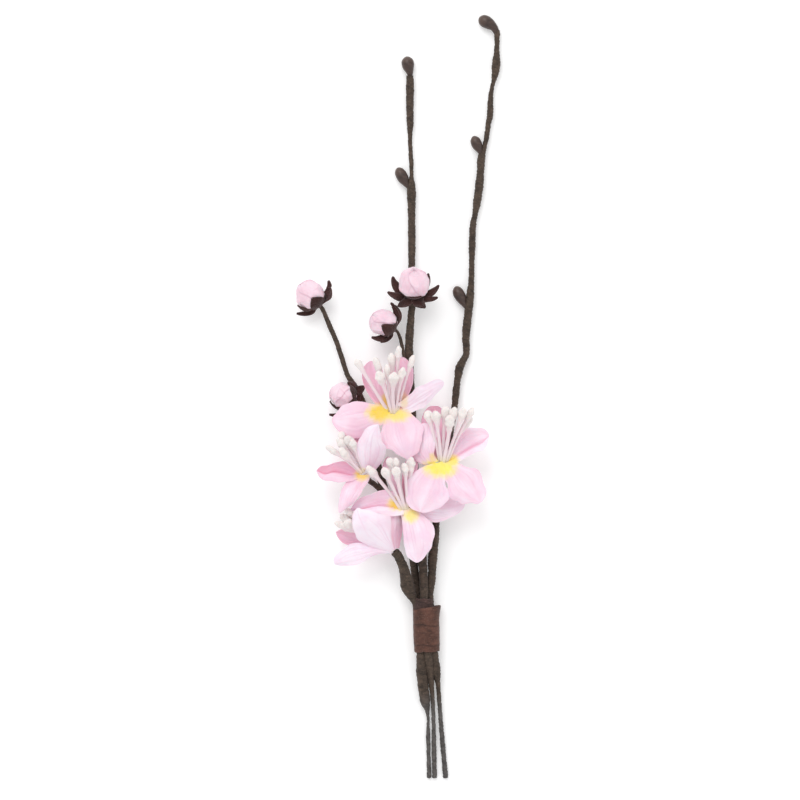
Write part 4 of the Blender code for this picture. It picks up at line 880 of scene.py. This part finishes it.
middleFlower = dict(
    root=(1.7, -36.0, 12.2), axis=(-0.25, 0.85, 0.45),
    spots=[(-0.6, -34.4, 3.2, 2.3, 0.95, 0.75), (3.7, -38.2, 2.5, 2.4, 0.8, 0.25)],
    petals=dict(
        front=dict(
            left=[(0.1, -36.6), (0.7, -40.0), (1.0, -43.3), (1.3, -46.7), (1.7, -49.7), (2.8, -52.0)],
            spine=[(2.3, -35.9), (4.0, -41.3), (5.0, -46.3), (5.7, -50.7)],
            right=[(5.0, -35.7), (7.7, -38.2), (9.8, -40.0), (11.3, -42.3), (11.5, -44.3), (10.8, -47.0),
                   (9.5, -49.7), (8.0, -52.0)],
            tip=(5.5, -53.8), rise=(12.4, 14.4, 15.0, 14.0), dome=1.0, lean=0.0, blush=0.2),
        right=dict(
            left=[(3.0, -34.3), (5.7, -33.0), (9.0, -32.0), (12.7, -31.7), (16.3, -32.0), (19.3, -32.8)],
            spine=[(3.3, -36.0), (6.7, -35.7), (10.7, -36.0), (15.0, -36.2), (18.7, -35.5)],
            right=[(4.3, -37.3), (6.7, -37.7), (9.0, -39.3), (11.3, -40.6), (14.0, -40.4), (16.7, -39.4),
                   (19.0, -37.9)],
            tip=(21.6, -34.3), rise=(12.0, 11.6, 10.2, 8.8), dome=0.7, lean=0.5, blush=0.15),
        left=dict(
            left=[(1.3, -37.8), (-1.3, -38.3), (-4.0, -38.3), (-6.7, -37.8), (-9.7, -37.5), (-12.7, -37.3)],
            spine=[(1.3, -35.7), (-1.3, -35.3), (-4.0, -34.8), (-7.0, -34.7), (-10.3, -35.3), (-13.3, -36.0)],
            right=[(0.7, -33.3), (-1.3, -31.0), (-3.7, -29.9), (-6.7, -30.0), (-9.7, -31.1), (-12.7, -32.5),
                   (-15.0, -34.2)],
            tip=(-16.5, -36.3), rise=(12.0, 11.6, 11.0, 10.2), dome=-1.5, lean=0.4, blush=0.34,
            hem=(-1, 0.16, 1.5, -0.42)),
        back_left=dict(
            left=[(0.0, -35.3), (-2.0, -31.0), (-4.0, -26.7), (-5.7, -22.7)],
            spine=[(0.7, -35.0), (-1.3, -29.3), (-3.0, -24.0), (-3.7, -21.3)],
            right=[(1.3, -34.7), (0.3, -29.0), (-0.7, -24.0), (-1.3, -21.0)],
            tip=(-4.0, -18.8), rise=(11.6, 10.4, 9.0, 8.0), dome=-1.0, lean=-0.6, blush=0.55),
        back_right=dict(
            left=[(1.0, -35.0), (0.7, -29.0), (1.0, -23.7), (1.7, -21.0)],
            spine=[(1.7, -35.0), (2.3, -28.7), (3.3, -23.7), (4.0, -21.0)],
            right=[(2.3, -35.0), (4.0, -29.3), (5.0, -25.3), (6.0, -22.0)],
            tip=(4.3, -18.8), rise=(11.6, 10.8, 10.0, 9.4), dome=-1.0, lean=0.6, blush=0.72)),
    heads=[(-9.8, -23.3, 16.0), (-4.7, -23.7, 18.4), (-3.2, -21.0, 16.0), (-1.2, -20.7, 17.2),
           (-1.0, -23.7, 19.6), (1.5, -22.5, 18.4), (3.7, -21.0, 15.6)])
lowFlower = dict(
    root=(-4.2, -48.5, 9.6), axis=(-0.83, 0.54, 0.1), spots=[],
    petals=dict(
        upper=dict(
            left=[(-2.7, -50.5), (-5.3, -49.8), (-8.3, -48.9), (-11.0, -48.0), (-13.3, -46.7), (-14.8, -44.7),
                  (-15.4, -42.0), (-15.8, -39.0)],
            spine=[(-2.0, -49.8), (-5.0, -46.7), (-8.0, -43.3), (-11.0, -39.7)],
            right=[(-1.2, -49.2), (-2.4, -47.0), (-3.0, -44.3), (-2.9, -41.3), (-3.3, -38.7), (-5.7, -37.7),
                   (-8.3, -37.1), (-10.7, -36.3)],
            tip=(-14.2, -35.7), rise=(10.2, 15.6, 19.2, 19.0), dome=2.0, lean=0.4, blush=0.0),
        lower=dict(
            left=[(-2.3, -50.9), (-4.7, -50.9), (-7.0, -51.1), (-9.3, -51.8), (-12.0, -53.5), (-14.7, -54.6),
                  (-17.7, -55.3), (-20.2, -55.2)],
            spine=[(-2.3, -50.3), (-5.3, -50.0), (-8.7, -50.0), (-12.7, -50.7), (-17.3, -52.0)],
            right=[(-2.7, -49.5), (-5.3, -48.8), (-8.0, -48.3), (-10.7, -47.5), (-13.3, -47.0),
                   (-16.0, -47.7), (-18.0, -49.0), (-20.0, -50.3), (-21.6, -52.0)],
            tip=(-21.8, -54.2), rise=(9.8, 12.0, 12.6, 11.8), dome=0.9, lean=0.8, blush=-0.08),
        back=dict(
            left=[(-2.7, -50.3), (-8.0, -49.7), (-12.7, -48.5), (-16.7, -48.4), (-19.3, -47.5)],
            spine=[(-2.3, -50.0), (-8.3, -48.7), (-13.3, -47.0), (-17.7, -45.3)],
            right=[(-2.7, -49.7), (-8.3, -47.7), (-12.7, -45.3), (-16.0, -43.5), (-19.0, -42.8)],
            tip=(-21.4, -44.0), rise=(9.0, 7.4, 6.0, 5.0), dome=-1.2, lean=0.8, blush=0.62),
        top=dict(
            left=[(-1.8, -49.7), (-2.7, -47.0), (-3.3, -44.0), (-3.3, -40.7), (-3.2, -38.0)],
            spine=[(-1.2, -49.3), (-1.5, -46.3), (-1.5, -43.0), (-1.3, -39.7), (-1.3, -37.0)],
            right=[(-0.3, -49.3), (0.2, -46.7), (0.7, -43.3), (0.4, -40.0), (0.0, -37.3)],
            tip=(-1.5, -34.7), rise=(9.8, 11.0, 11.6, 10.4), dome=0.4, lean=-2.0, blush=0.5),
        under=dict(
            left=[(-3.0, -50.3), (-6.7, -48.7), (-10.0, -46.7), (-12.3, -43.7)],
            spine=[(-2.7, -49.7), (-5.7, -46.7), (-8.0, -43.7)],
            right=[(-2.0, -49.3), (-4.0, -46.3), (-5.3, -43.3), (-6.7, -40.7)],
            tip=(-10.0, -40.0), rise=(8.4, 5.6, 3.4, 1.8), dome=-0.5, lean=0.3, blush=0.4)),
    heads=[(-19.8, -41.5, 12.0), (-18.2, -39.2, 10.5), (-16.7, -37.2, 11.5), (-16.7, -40.8, 13.5),
           (-17.8, -42.3, 9.0), (-16.3, -39.0, 8.0)])
flowerLooks = dict(top_flower=topFlower, right_flower=rightFlower, left_flower=leftFlower,
                   middle_flower=middleFlower, low_flower=lowFlower)

sharpTurn = 0.9  # radians that an edge of a sheet turns by before it is kept sharp
seed = 100
for flower, look in flowerLooks.items():
    short = flower.split("_")[0]
    for petal, shape in look["petals"].items():
        seed += 7
        body = petalBody(seed=seed, spots=look["spots"], **shape)
        newPiece(pieceName(f"{short}_petal_{petal}"), [body], petalPaper, "petal", f"{flower}_petal_{petal}",
                 crisp=sharpTurn)
    foot = (look["root"], look["axis"])
    tuft = [stamenBody(*foot, head, seed + 1 + k) for k, head in enumerate(look["heads"])]
    tuft.append(plugBody(*foot, seed))
    newPiece(short + "Stamens", tuft, starchedThread, "stamen", flower + "_stamens")
print("open flowers:", len(flowerLooks))


# closed buds and their calyces
def ballPoints(centre, axis, reach, down, about, tall=1.0):
    # points at their reach from the centre, at the angle down from the axis and the angle about it, which
    # starts from the direction square to the axis that is nearest to straight up
    a = unitOf(axis)
    above = unitOf(np.array([0, 0, 1.0]) - a * a[2])
    aside = np.cross(a, above)
    return (np.array(centre, float) + (reach * np.cos(down) * tall)[..., None] * a
            + (reach * np.sin(down) * np.cos(about))[..., None] * above
            + (reach * np.sin(down) * np.sin(about))[..., None] * aside)


def tissueBody(centre, radius, axis, seed, facets=0.3, wraps=3, tall=1.04, planeCount=24, rows=72, cols=108):
    # A ball worked out from the angle off its tip and the angle round it. Each of the wrapped petals steps up
    # by a lap along a spiral line and falls back to the ball by the next one; pleats gather at the tip, which
    # is pinched to a low point, and the whole is slightly longer than it is wide, with a fine crumple in two
    # sizes. The facets share of the distance out is the nearest of many flat planes round the ball, where the
    # tissue was pressed flat: the smooth least of their distances. The fold mark is painted shade: strong along
    # the laps, the pleats and the pinched tip, and faint where two planes meet.
    down = np.linspace(0.03, np.pi - 0.03, rows)[:, None]
    about = np.linspace(0, 2 * np.pi, cols, endpoint=False)[None]
    spiral = wraps * about / (2 * np.pi) + 0.42 * np.cos(down) + 0.07 * ripple(seed, down * 2.2, 0)
    turn = spiral - np.floor(spiral)
    lap = ramp(turn, 0, 0.05) * (1 - turn)
    gathered = np.exp(-(down / 0.55) ** 2)
    pleatWave = np.sin(about * 9 + 2.5 * down + seed)
    pleats = pleatWave * 0.020 * gathered
    coarse = ripple(seed + 1, np.cos(about) * 2.6 + down, np.sin(about) * 2.6 + down * 1.5, 0.8, 3.0)
    fine = ripple(seed + 2, np.cos(about) * 6 + 2 * down, np.sin(about) * 6 - down * 4, 0.9, 3.0)
    crumple = 0.016 * coarse + 0.009 * fine
    pinch = 0.035 * np.exp(-(down / 0.28) ** 2)
    reach = radius * (0.985 + 0.05 * lap * np.sin(down) ** 0.6 + pleats + crumple - pinch)
    outwards = stacked(np.cos(down), np.sin(down) * np.cos(about), np.sin(down) * np.sin(about))
    dice, sharpness = np.random.default_rng(seed), 110
    planes = unitOf(dice.normal(size=(planeCount, 3)))
    away = dice.uniform(0.87, 0.97, planeCount) / np.maximum(outwards @ planes.T, 0.3)
    flatReach = np.minimum(-np.log(np.exp(-away * sharpness).sum(-1)) / sharpness + 0.06, 1.10)
    nearest = np.sort(away, -1)
    edge = np.exp(-((nearest[..., 1] - nearest[..., 0]) / 0.022) ** 2) * (nearest[..., 0] < 1.07)
    reach = reach * (1 - facets + facets * flatReach)
    # painted shade in the laps, the pleats, the pinched tip and the facet edges
    fold = np.clip(1 - np.abs(turn - 0.035) / 0.05, 0, 1) * 0.55 * np.sin(down) ** 0.5
    fold = fold + 0.5 * np.exp(-(down / 0.16) ** 2) + 0.25 * gathered * (pleatWave < -0.3)
    fold = np.clip(np.clip(fold, 0, 1) + 0.34 * facets * edge, 0, 1)
    uv = stacked(np.linspace(0, 1, cols + 1)[None] * 3, down / np.pi * 2)
    c, a = np.array(centre, float), unitOf(axis)
    poles = [c + a * reach[0].mean() * tall, c - a * reach[-1].mean() * tall]
    return tubeBody(ballPoints(centre, axis, reach, down, about, tall), poles, uv, fold=fold)


def cupBody(centre, radius, axis, seed, reach=125.0, wall=0.5, gap=0.12, sides=40):
    # the calyx cup: a bowl round the stalk side of the ball, down its inner side and back up its outer side;
    # it thickens by its foot towards the stalk
    low, foot, inside, outside = 178, 0.35, 10, 12
    angle = np.linspace(0, 2 * np.pi, sides, endpoint=False)[None]
    inner = np.radians(np.linspace(low, reach, inside))
    outer = np.radians(np.linspace(reach, low, outside))
    down = np.concatenate([inner, outer])[:, None]
    r = np.concatenate([np.full(inside, radius + gap), np.full(outside, radius + gap + wall)])[:, None]
    r = r * (1 + 0.012 * ripple(seed, np.cos(angle) * 2, np.sin(angle) * 2 + down))
    r = r + np.concatenate([np.zeros(inside), foot * ramp(np.degrees(outer), 160, low)])[:, None]
    uv = stacked(np.linspace(0, 2, sides + 1)[None], down)
    c, a = np.array(centre, float), unitOf(axis)
    poles = [c - a * (radius + gap), c - a * (radius + gap + wall + foot)]
    return tubeBody(ballPoints(centre, axis, r, down, angle), poles, uv)


def sepalBody(centre, radius, axis, tip, width=2.6, flat=0.8, wall=0.5, lift=0.4, seed=1, rows=40, cols=17):
    # The midrib turns evenly from the stalk side of the ball to the tip's direction while its distance from
    # the ball's middle grows with a power of the way. The width lies round the ball at the root and turns to
    # face straight up by the flat share at the tip, is a sine from the root, and closes by a root curve to a
    # round point. Points that would fall inside the ball are pushed out to it.
    c, a, end = np.array(centre, float), unitOf(axis), np.array(tip, float)
    goal = end - c
    far = np.linalg.norm(goal)
    goal = goal / far
    whole = np.arccos(np.clip(-a @ goal, -1, 1))
    t = (1 - (1 - np.linspace(0, 1, rows)) ** 1.5)[:, None]
    turned = (np.sin((1 - t) * whole) * -a + np.sin(t * whole) * goal) / np.sin(whole)
    grow = radius + lift + (far - radius - lift) * t ** 1.8
    middle = c + turned * grow
    along = unitOf(np.gradient(middle, axis=0))
    about = unitOf(np.cross(a, goal)) + 0 * along
    level = unitOf(np.cross((0, 0, 1.0), along))
    level = level * np.sign((level * about).sum(-1, keepdims=True) + 1e-6)
    share = flat * ramp(t, 0.15, 0.6)
    side = unitOf(about * (1 - share) + level * share)
    side = unitOf(side - along * (side * along).sum(-1, keepdims=True))
    v = np.linspace(-1, 1, cols)[None]
    point = np.sqrt(np.clip(1 - np.clip((t - 0.52) / 0.48, 0, 1) ** 2.4, 0.003, 1))
    shape = (0.62 + 0.38 * np.sin(np.pi * np.clip(t / 0.95, 0, 1))) * point
    half = width / 2 * shape * (1 + 0.09 * ripple(seed, t * 5, np.sign(v) * 2))
    face = np.cross(along, side)
    face = face * np.sign((face * (middle - c)).sum(-1, keepdims=True) + 1e-6)
    cup = -0.12 * v**2 * width + 0.10 * ripple(seed + 1, t * 4, v * 1.5) * t - 0.08 * np.exp(-(v / 0.15) ** 2)
    surface = middle[:, None] + (v * half)[..., None] * side[:, None] + cup[..., None] * face[:, None]
    away = surface - c
    distance = np.linalg.norm(away, axis=-1, keepdims=True)
    clear = 0.34
    surface = c + away * np.maximum(1, (radius + clear) / distance)
    return sheetBody(surface, wall, stacked(v, t * 2))


budLooks = dict(
    far_left_bud=dict(
        centre=(-30.0, 35.0, 5.6), radius=4.55, axis=(-0.62, 0.7, 0.25), seed=301, facets=0.8,
        tips=[((-29.0, 33.6, 10.8), 5.4, 0.2), ((-23.6, 39.6, 7.4), 3.6, 0.5), ((-34.0, 31.4, 7.6), 2.2, 0.3),
              ((-34.4, 28.8, 5.4), 1.9, 0.9), ((-29.0, 38.0, 1.0), 2.6, 0.2)]),
    near_left_bud=dict(
        centre=(-19.0, 1.4, 5.6), radius=4.1, axis=(-0.95, -0.2, 0.1), seed=307, facets=1.0,
        tips=[((-17.2, 5.8, 7.4), 3.4, 0.6), ((-17.8, -1.6, 8.6), 3.2, 0.4), ((-11.8, 4.4, 6.0), 3.4, 0.7),
              ((-12.8, -0.4, 5.8), 3.0, 0.7), ((-23.4, -0.4, 6.2), 1.9, 0.3), ((-23.6, -4.8, 4.6), 2.0, 0.9),
              ((-17.5, 3.0, 1.6), 2.4, 0.2)]),
    upper_bud=dict(
        centre=(4.6, 38.9, 10.2), radius=4.9, axis=(0.02, 0.84, 0.54), seed=311, facets=0.7,
        tips=[((-2.4, 41.0, 9.8), 3.1, 0.85), ((-4.1, 35.8, 11.0), 2.8, 0.85),
              ((-0.7, 31.0, 11.4), 3.4, 0.85), ((8.4, 30.6, 11.8), 4.0, 0.8), ((12.9, 38.1, 10.6), 2.5, 0.85),
              ((12.5, 34.0, 10.4), 2.3, 0.85), ((9.4, 42.0, 8.6), 2.0, 0.7)]),
    lower_bud=dict(
        centre=(-5.6, 25.8, 8.8), radius=4.2, axis=(-0.8, 0.52, 0.3), seed=317, facets=0.85,
        tips=[((-2.9, 32.2, 9.8), 3.1, 0.6), ((-5.9, 24.7, 13.6), 4.6, 0.3), ((-9.4, 20.8, 8.8), 2.4, 0.7),
              ((-6.4, 19.2, 8.2), 2.0, 0.8), ((-4.0, 29.5, 4.8), 2.6, 0.2)]))

for bud, look in budLooks.items():
    ball = (look["centre"], look["radius"], look["axis"])
    newPiece(pieceName(bud), [tissueBody(*ball, look["seed"], look["facets"])], budTissue, "bud", bud)
    felt = [cupBody(*ball, look["seed"])]
    felt += [sepalBody(*ball, *sepal, seed=look["seed"] + k) for k, sepal in enumerate(look["tips"])]
    newPiece(pieceName(bud) + "Calyx", felt, sepalFelt, "calyx", bud + "_calyx", crisp=sharpTurn)
print("closed buds:", len(budLooks))


# leaf buds on the twigs
leafBudLooks = dict(
    left_twig_tip_bud=dict(
        seed=401,
        rows=[(3.5, 108.0, 2.1, 0.75), (3.2, 109.7, 2.05, 1.3), (2.8, 111.4, 2.05, 1.95),
              (2.5, 113.1, 2.05, 2.0), (2.2, 114.8, 2.05, 1.3)]),
    right_twig_tip_bud=dict(
        seed=403,
        rows=[(32.4, 122.6, 2.2, 0.95), (31.4, 124.4, 2.2, 1.3), (30.0, 125.6, 2.2, 1.95),
              (28.3, 126.6, 2.2, 2.2), (26.4, 127.7, 2.2, 1.35)]),
    left_twig_side_bud=dict(
        seed=405,
        rows=[(2.9, 70.8, 2.1, 0.6), (2.2, 72.1, 2.1, 1.1), (1.2, 73.8, 2.1, 1.8), (0.1, 75.8, 2.1, 1.85),
              (-0.9, 77.6, 2.1, 1.1)]),
    right_twig_upper_side_bud=dict(
        seed=407,
        rows=[(27.4, 82.0, 2.1, 0.6), (26.7, 83.2, 2.1, 1.0), (26.0, 84.7, 2.1, 1.65), (25.2, 86.5, 2.1, 1.7),
              (24.5, 88.2, 2.1, 1.0)]),
    right_twig_lower_side_bud=dict(
        seed=409,
        rows=[(22.4, 30.6, 2.2, 0.6), (21.5, 32.0, 2.2, 1.0), (20.5, 33.9, 2.2, 1.75),
              (19.4, 36.0, 2.2, 1.85), (18.6, 38.0, 2.2, 1.1)]))

for node, look in leafBudLooks.items():
    body = wrappedStem(**look, pitch=9.0, lap=0.0, lumps=0.03, twist=0.012, ends=(0.5, 1.3),
                       sides=28, step=0.12)
    body["marks"]["tip"] = ramp(np.linspace(0, 1, len(body["points"])), 0.55, 0.95)
    newPiece(pieceName(node), [body], waxedLeafBud, "leaf_bud", node)
print("leaf buds:", len(leafBudLooks))


# the binding
bandLook = dict(
    rows=[(8.65, -69.2, 3.35, 1.0), (8.75, -74.0, 3.35, 0.99), (8.85, -79.0, 3.35, 0.98),
          (9.0, -84.0, 3.35, 0.97)],
    half=(4.35, 3.2), wall=0.45, squareness=2.6, steps=((-81.6, 0.1, 0.3), (-75.2, -0.06, 0.5)), slant=0.5,
    flap=0.6, seed=501)
underWrapLook = dict(
    rows=[(7.6, -66.0, 3.5, 0.86), (7.65, -67.5, 3.4, 0.88), (7.9, -69.5, 3.35, 0.92),
          (8.5, -71.5, 3.35, 0.95)],
    half=(3.9, 3.0), wall=0.4, squareness=2.2, steps=((-67.3, 0.08, 0.9),), slant=-0.2, flap=0.0, seed=507)


def bandBody(rows, half, wall, squareness, steps, slant, flap, seed, columns=132):
    # A rounded oblong carried down the bundle: |x|^n + |y|^n = 1 scaled to the half width and depth, n being
    # the squareness. Each turn of tape steps the surface in or out at a level along a tilted line, the
    # wrapped strands show as low ridges, and crepe wrinkles run round. The top edge is cut on a slant, and
    # its right corner lifts off as a flap. It is a sleeve with a wall: down the outside and back up the
    # inside.
    path, at = smoothPath(rows, 0.25)
    along, above, aside = ringFrame(path[:, :3])
    angle = np.linspace(0, 2 * np.pi, columns, endpoint=False)[None]
    cosine, sine, down = np.cos(angle), np.sin(angle), at[:, None]
    n = squareness
    outer = (np.abs(cosine / half[1]) ** n + np.abs(sine / half[0]) ** n) ** (-1 / n) * path[:, 3:4]
    y = path[:, 1:2] + 0 * angle
    for level, rise, tilt in steps:
        outer = outer + rise * ramp(y - tilt * sine, level - 0.12, level + 0.12)
    ridges = 0.07 * ripple(seed, angle * 0 + sine * 3.2, cosine * 2.0, 0.9, 2.2)
    wrinkles = 0.035 * ripple(seed + 1, down * 2.2, sine * 1.3, 0.8, 2.8)
    outer = outer + ridges + wrinkles
    ends = np.minimum(at, at[-1] - at)[:, None]
    outer = outer - 0.12 * (1 - ramp(ends, 0, 0.35))
    lifted = flap * np.exp(-((sine + 0.95) / 0.5) ** 2) * np.exp(-(down / 2.2) ** 2) * (cosine > -0.4)
    outer = outer + lifted
    topEdge = (slant * sine - 0.1 * lifted) * np.exp(-(down / 3.5) ** 2)
    ragged = 0.12 * ripple(seed + 2, sine * 4, cosine * 4) + topEdge
    direction = cosine[..., None] * above[:, None] + sine[..., None] * aside[:, None]
    cut = ragged[..., None] * along[:, None]
    outside, inside = (path[:, None, :3] + reach[..., None] * direction + cut
                       for reach in (outer, outer - wall))
    points = np.concatenate([outside, inside[::-1]])
    lines, cols = points.shape[:2]
    uvLength = np.concatenate([at, at[::-1], at[:1]])[:, None]
    uv = stacked(np.linspace(0, 1, cols + 1)[None] * 3, uvLength * 1.6).reshape(-1, 2)
    seam = np.zeros_like(outer)
    for level, rise, tilt in steps:
        seam = np.maximum(seam, np.exp(-((y - tilt * sine - level + 0.15 * np.sign(rise)) / 0.18) ** 2) * 0.7)
    marks = dict(seam=np.concatenate([seam, seam[::-1]]).reshape(-1), tail=np.zeros(lines * cols))
    quadUv = uv[gridQuads(lines, cols, lines + 1, cols + 1)]
    return quadBody(points, gridQuads(lines, cols, lines, cols), quadUv, marks)


newPiece("bindingTape", [bandBody(**bandLook)], bandTape, "binding_tape", "binding_tape")
newPiece("underWrap", [bandBody(**underWrapLook)], underWrapTape, "binding_tape", "binding_tape")
print("binding done")


# table, light and camera
# the lens shows the seen width from its stand-off; a lamp's place is counted from the sprig's zero
viewLook = dict(
    height=1.2, filmWidth=36, standOff=1.195, seen=0.266667,
    sky=0.83, tableGlow=0.16, tableHalf=3,
    softTop=dict(place=(-0.25, 0.75, 0.95), size=0.7, power=5.2),
    fill=dict(place=(0.7, -0.5, 0.8), size=1.0, power=1.0))
aim = sprigShift * mm
white = (1, 1, 1, 1)


def makeTable():
    # a pale matt table under the sprig
    paint, tree, shader, place, wrap = newPaint("paleTable")
    cloudy = addNoise(tree, place, 60.0, Detail=4.0)
    colour = addMix(tree, cloudy, (0.93, 0.93, 0.93, 1), (0.96, 0.96, 0.96, 1))
    looks = {"Base Color": colour, "Roughness": 0.9, "Specular IOR Level": 0.1, "Emission Color": white,
             "Emission Strength": viewLook["tableGlow"]}
    feed(tree, [(shader.inputs[label], value) for label, value in looks.items()])
    half = viewLook["tableHalf"]
    mesh = bpy.data.meshes.new("paleTable")
    corners = [(-half, -half, 0), (half, -half, 0), (half, half, 0), (-half, half, 0)]
    mesh.from_pydata(corners, [], [(0, 1, 2, 3)])
    mesh.materials.append(paint)
    table = bpy.data.objects.new("paleTable", mesh)
    bpy.context.scene.collection.objects.link(table)
    table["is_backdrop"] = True


def makeSoftbox(name, place, size, power):
    # a square lamp turned to the sprig's zero on the table
    light = bpy.data.lights.new(name, "AREA")
    light.size, light.energy = size, power
    box = bpy.data.objects.new(name, light)
    target, stand = Vector((aim[0], aim[1], 0)), Vector((aim[0] + place[0], aim[1] + place[1], place[2]))
    box.location = stand
    box.rotation_mode = "QUATERNION"
    box.rotation_quaternion = (target - stand).to_track_quat("-Z", "Y")
    bpy.context.scene.collection.objects.link(box)


makeTable()
for name in ("softTop", "fill"):
    makeSoftbox(name, **viewLook[name])
world = bpy.data.worlds.new("paleRoom")
bpy.context.scene.world = world
world.use_nodes = True
world.node_tree.nodes["Background"].inputs["Color"].default_value = white
world.node_tree.nodes["Background"].inputs["Strength"].default_value = viewLook["sky"]
bpy.context.scene.view_settings.view_transform = "Standard"

camera = bpy.data.cameras.new("viewer")
camera.sensor_width = viewLook["filmWidth"]
camera.lens = viewLook["filmWidth"] * viewLook["standOff"] / viewLook["seen"]
camera.clip_start, camera.clip_end = 0.05, 10
viewer = bpy.data.objects.new("viewer", camera)
viewer.location = (aim[0], aim[1], viewLook["height"])
bpy.context.scene.collection.objects.link(viewer)
bpy.context.scene.camera = viewer

low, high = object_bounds()
sizes = [np.round((np.array(top) - bottom) / mm, 2) for bottom, top in ((cadLow, cadHigh), (low, high))]
print("sizes in mm, cad then visual:", *sizes)
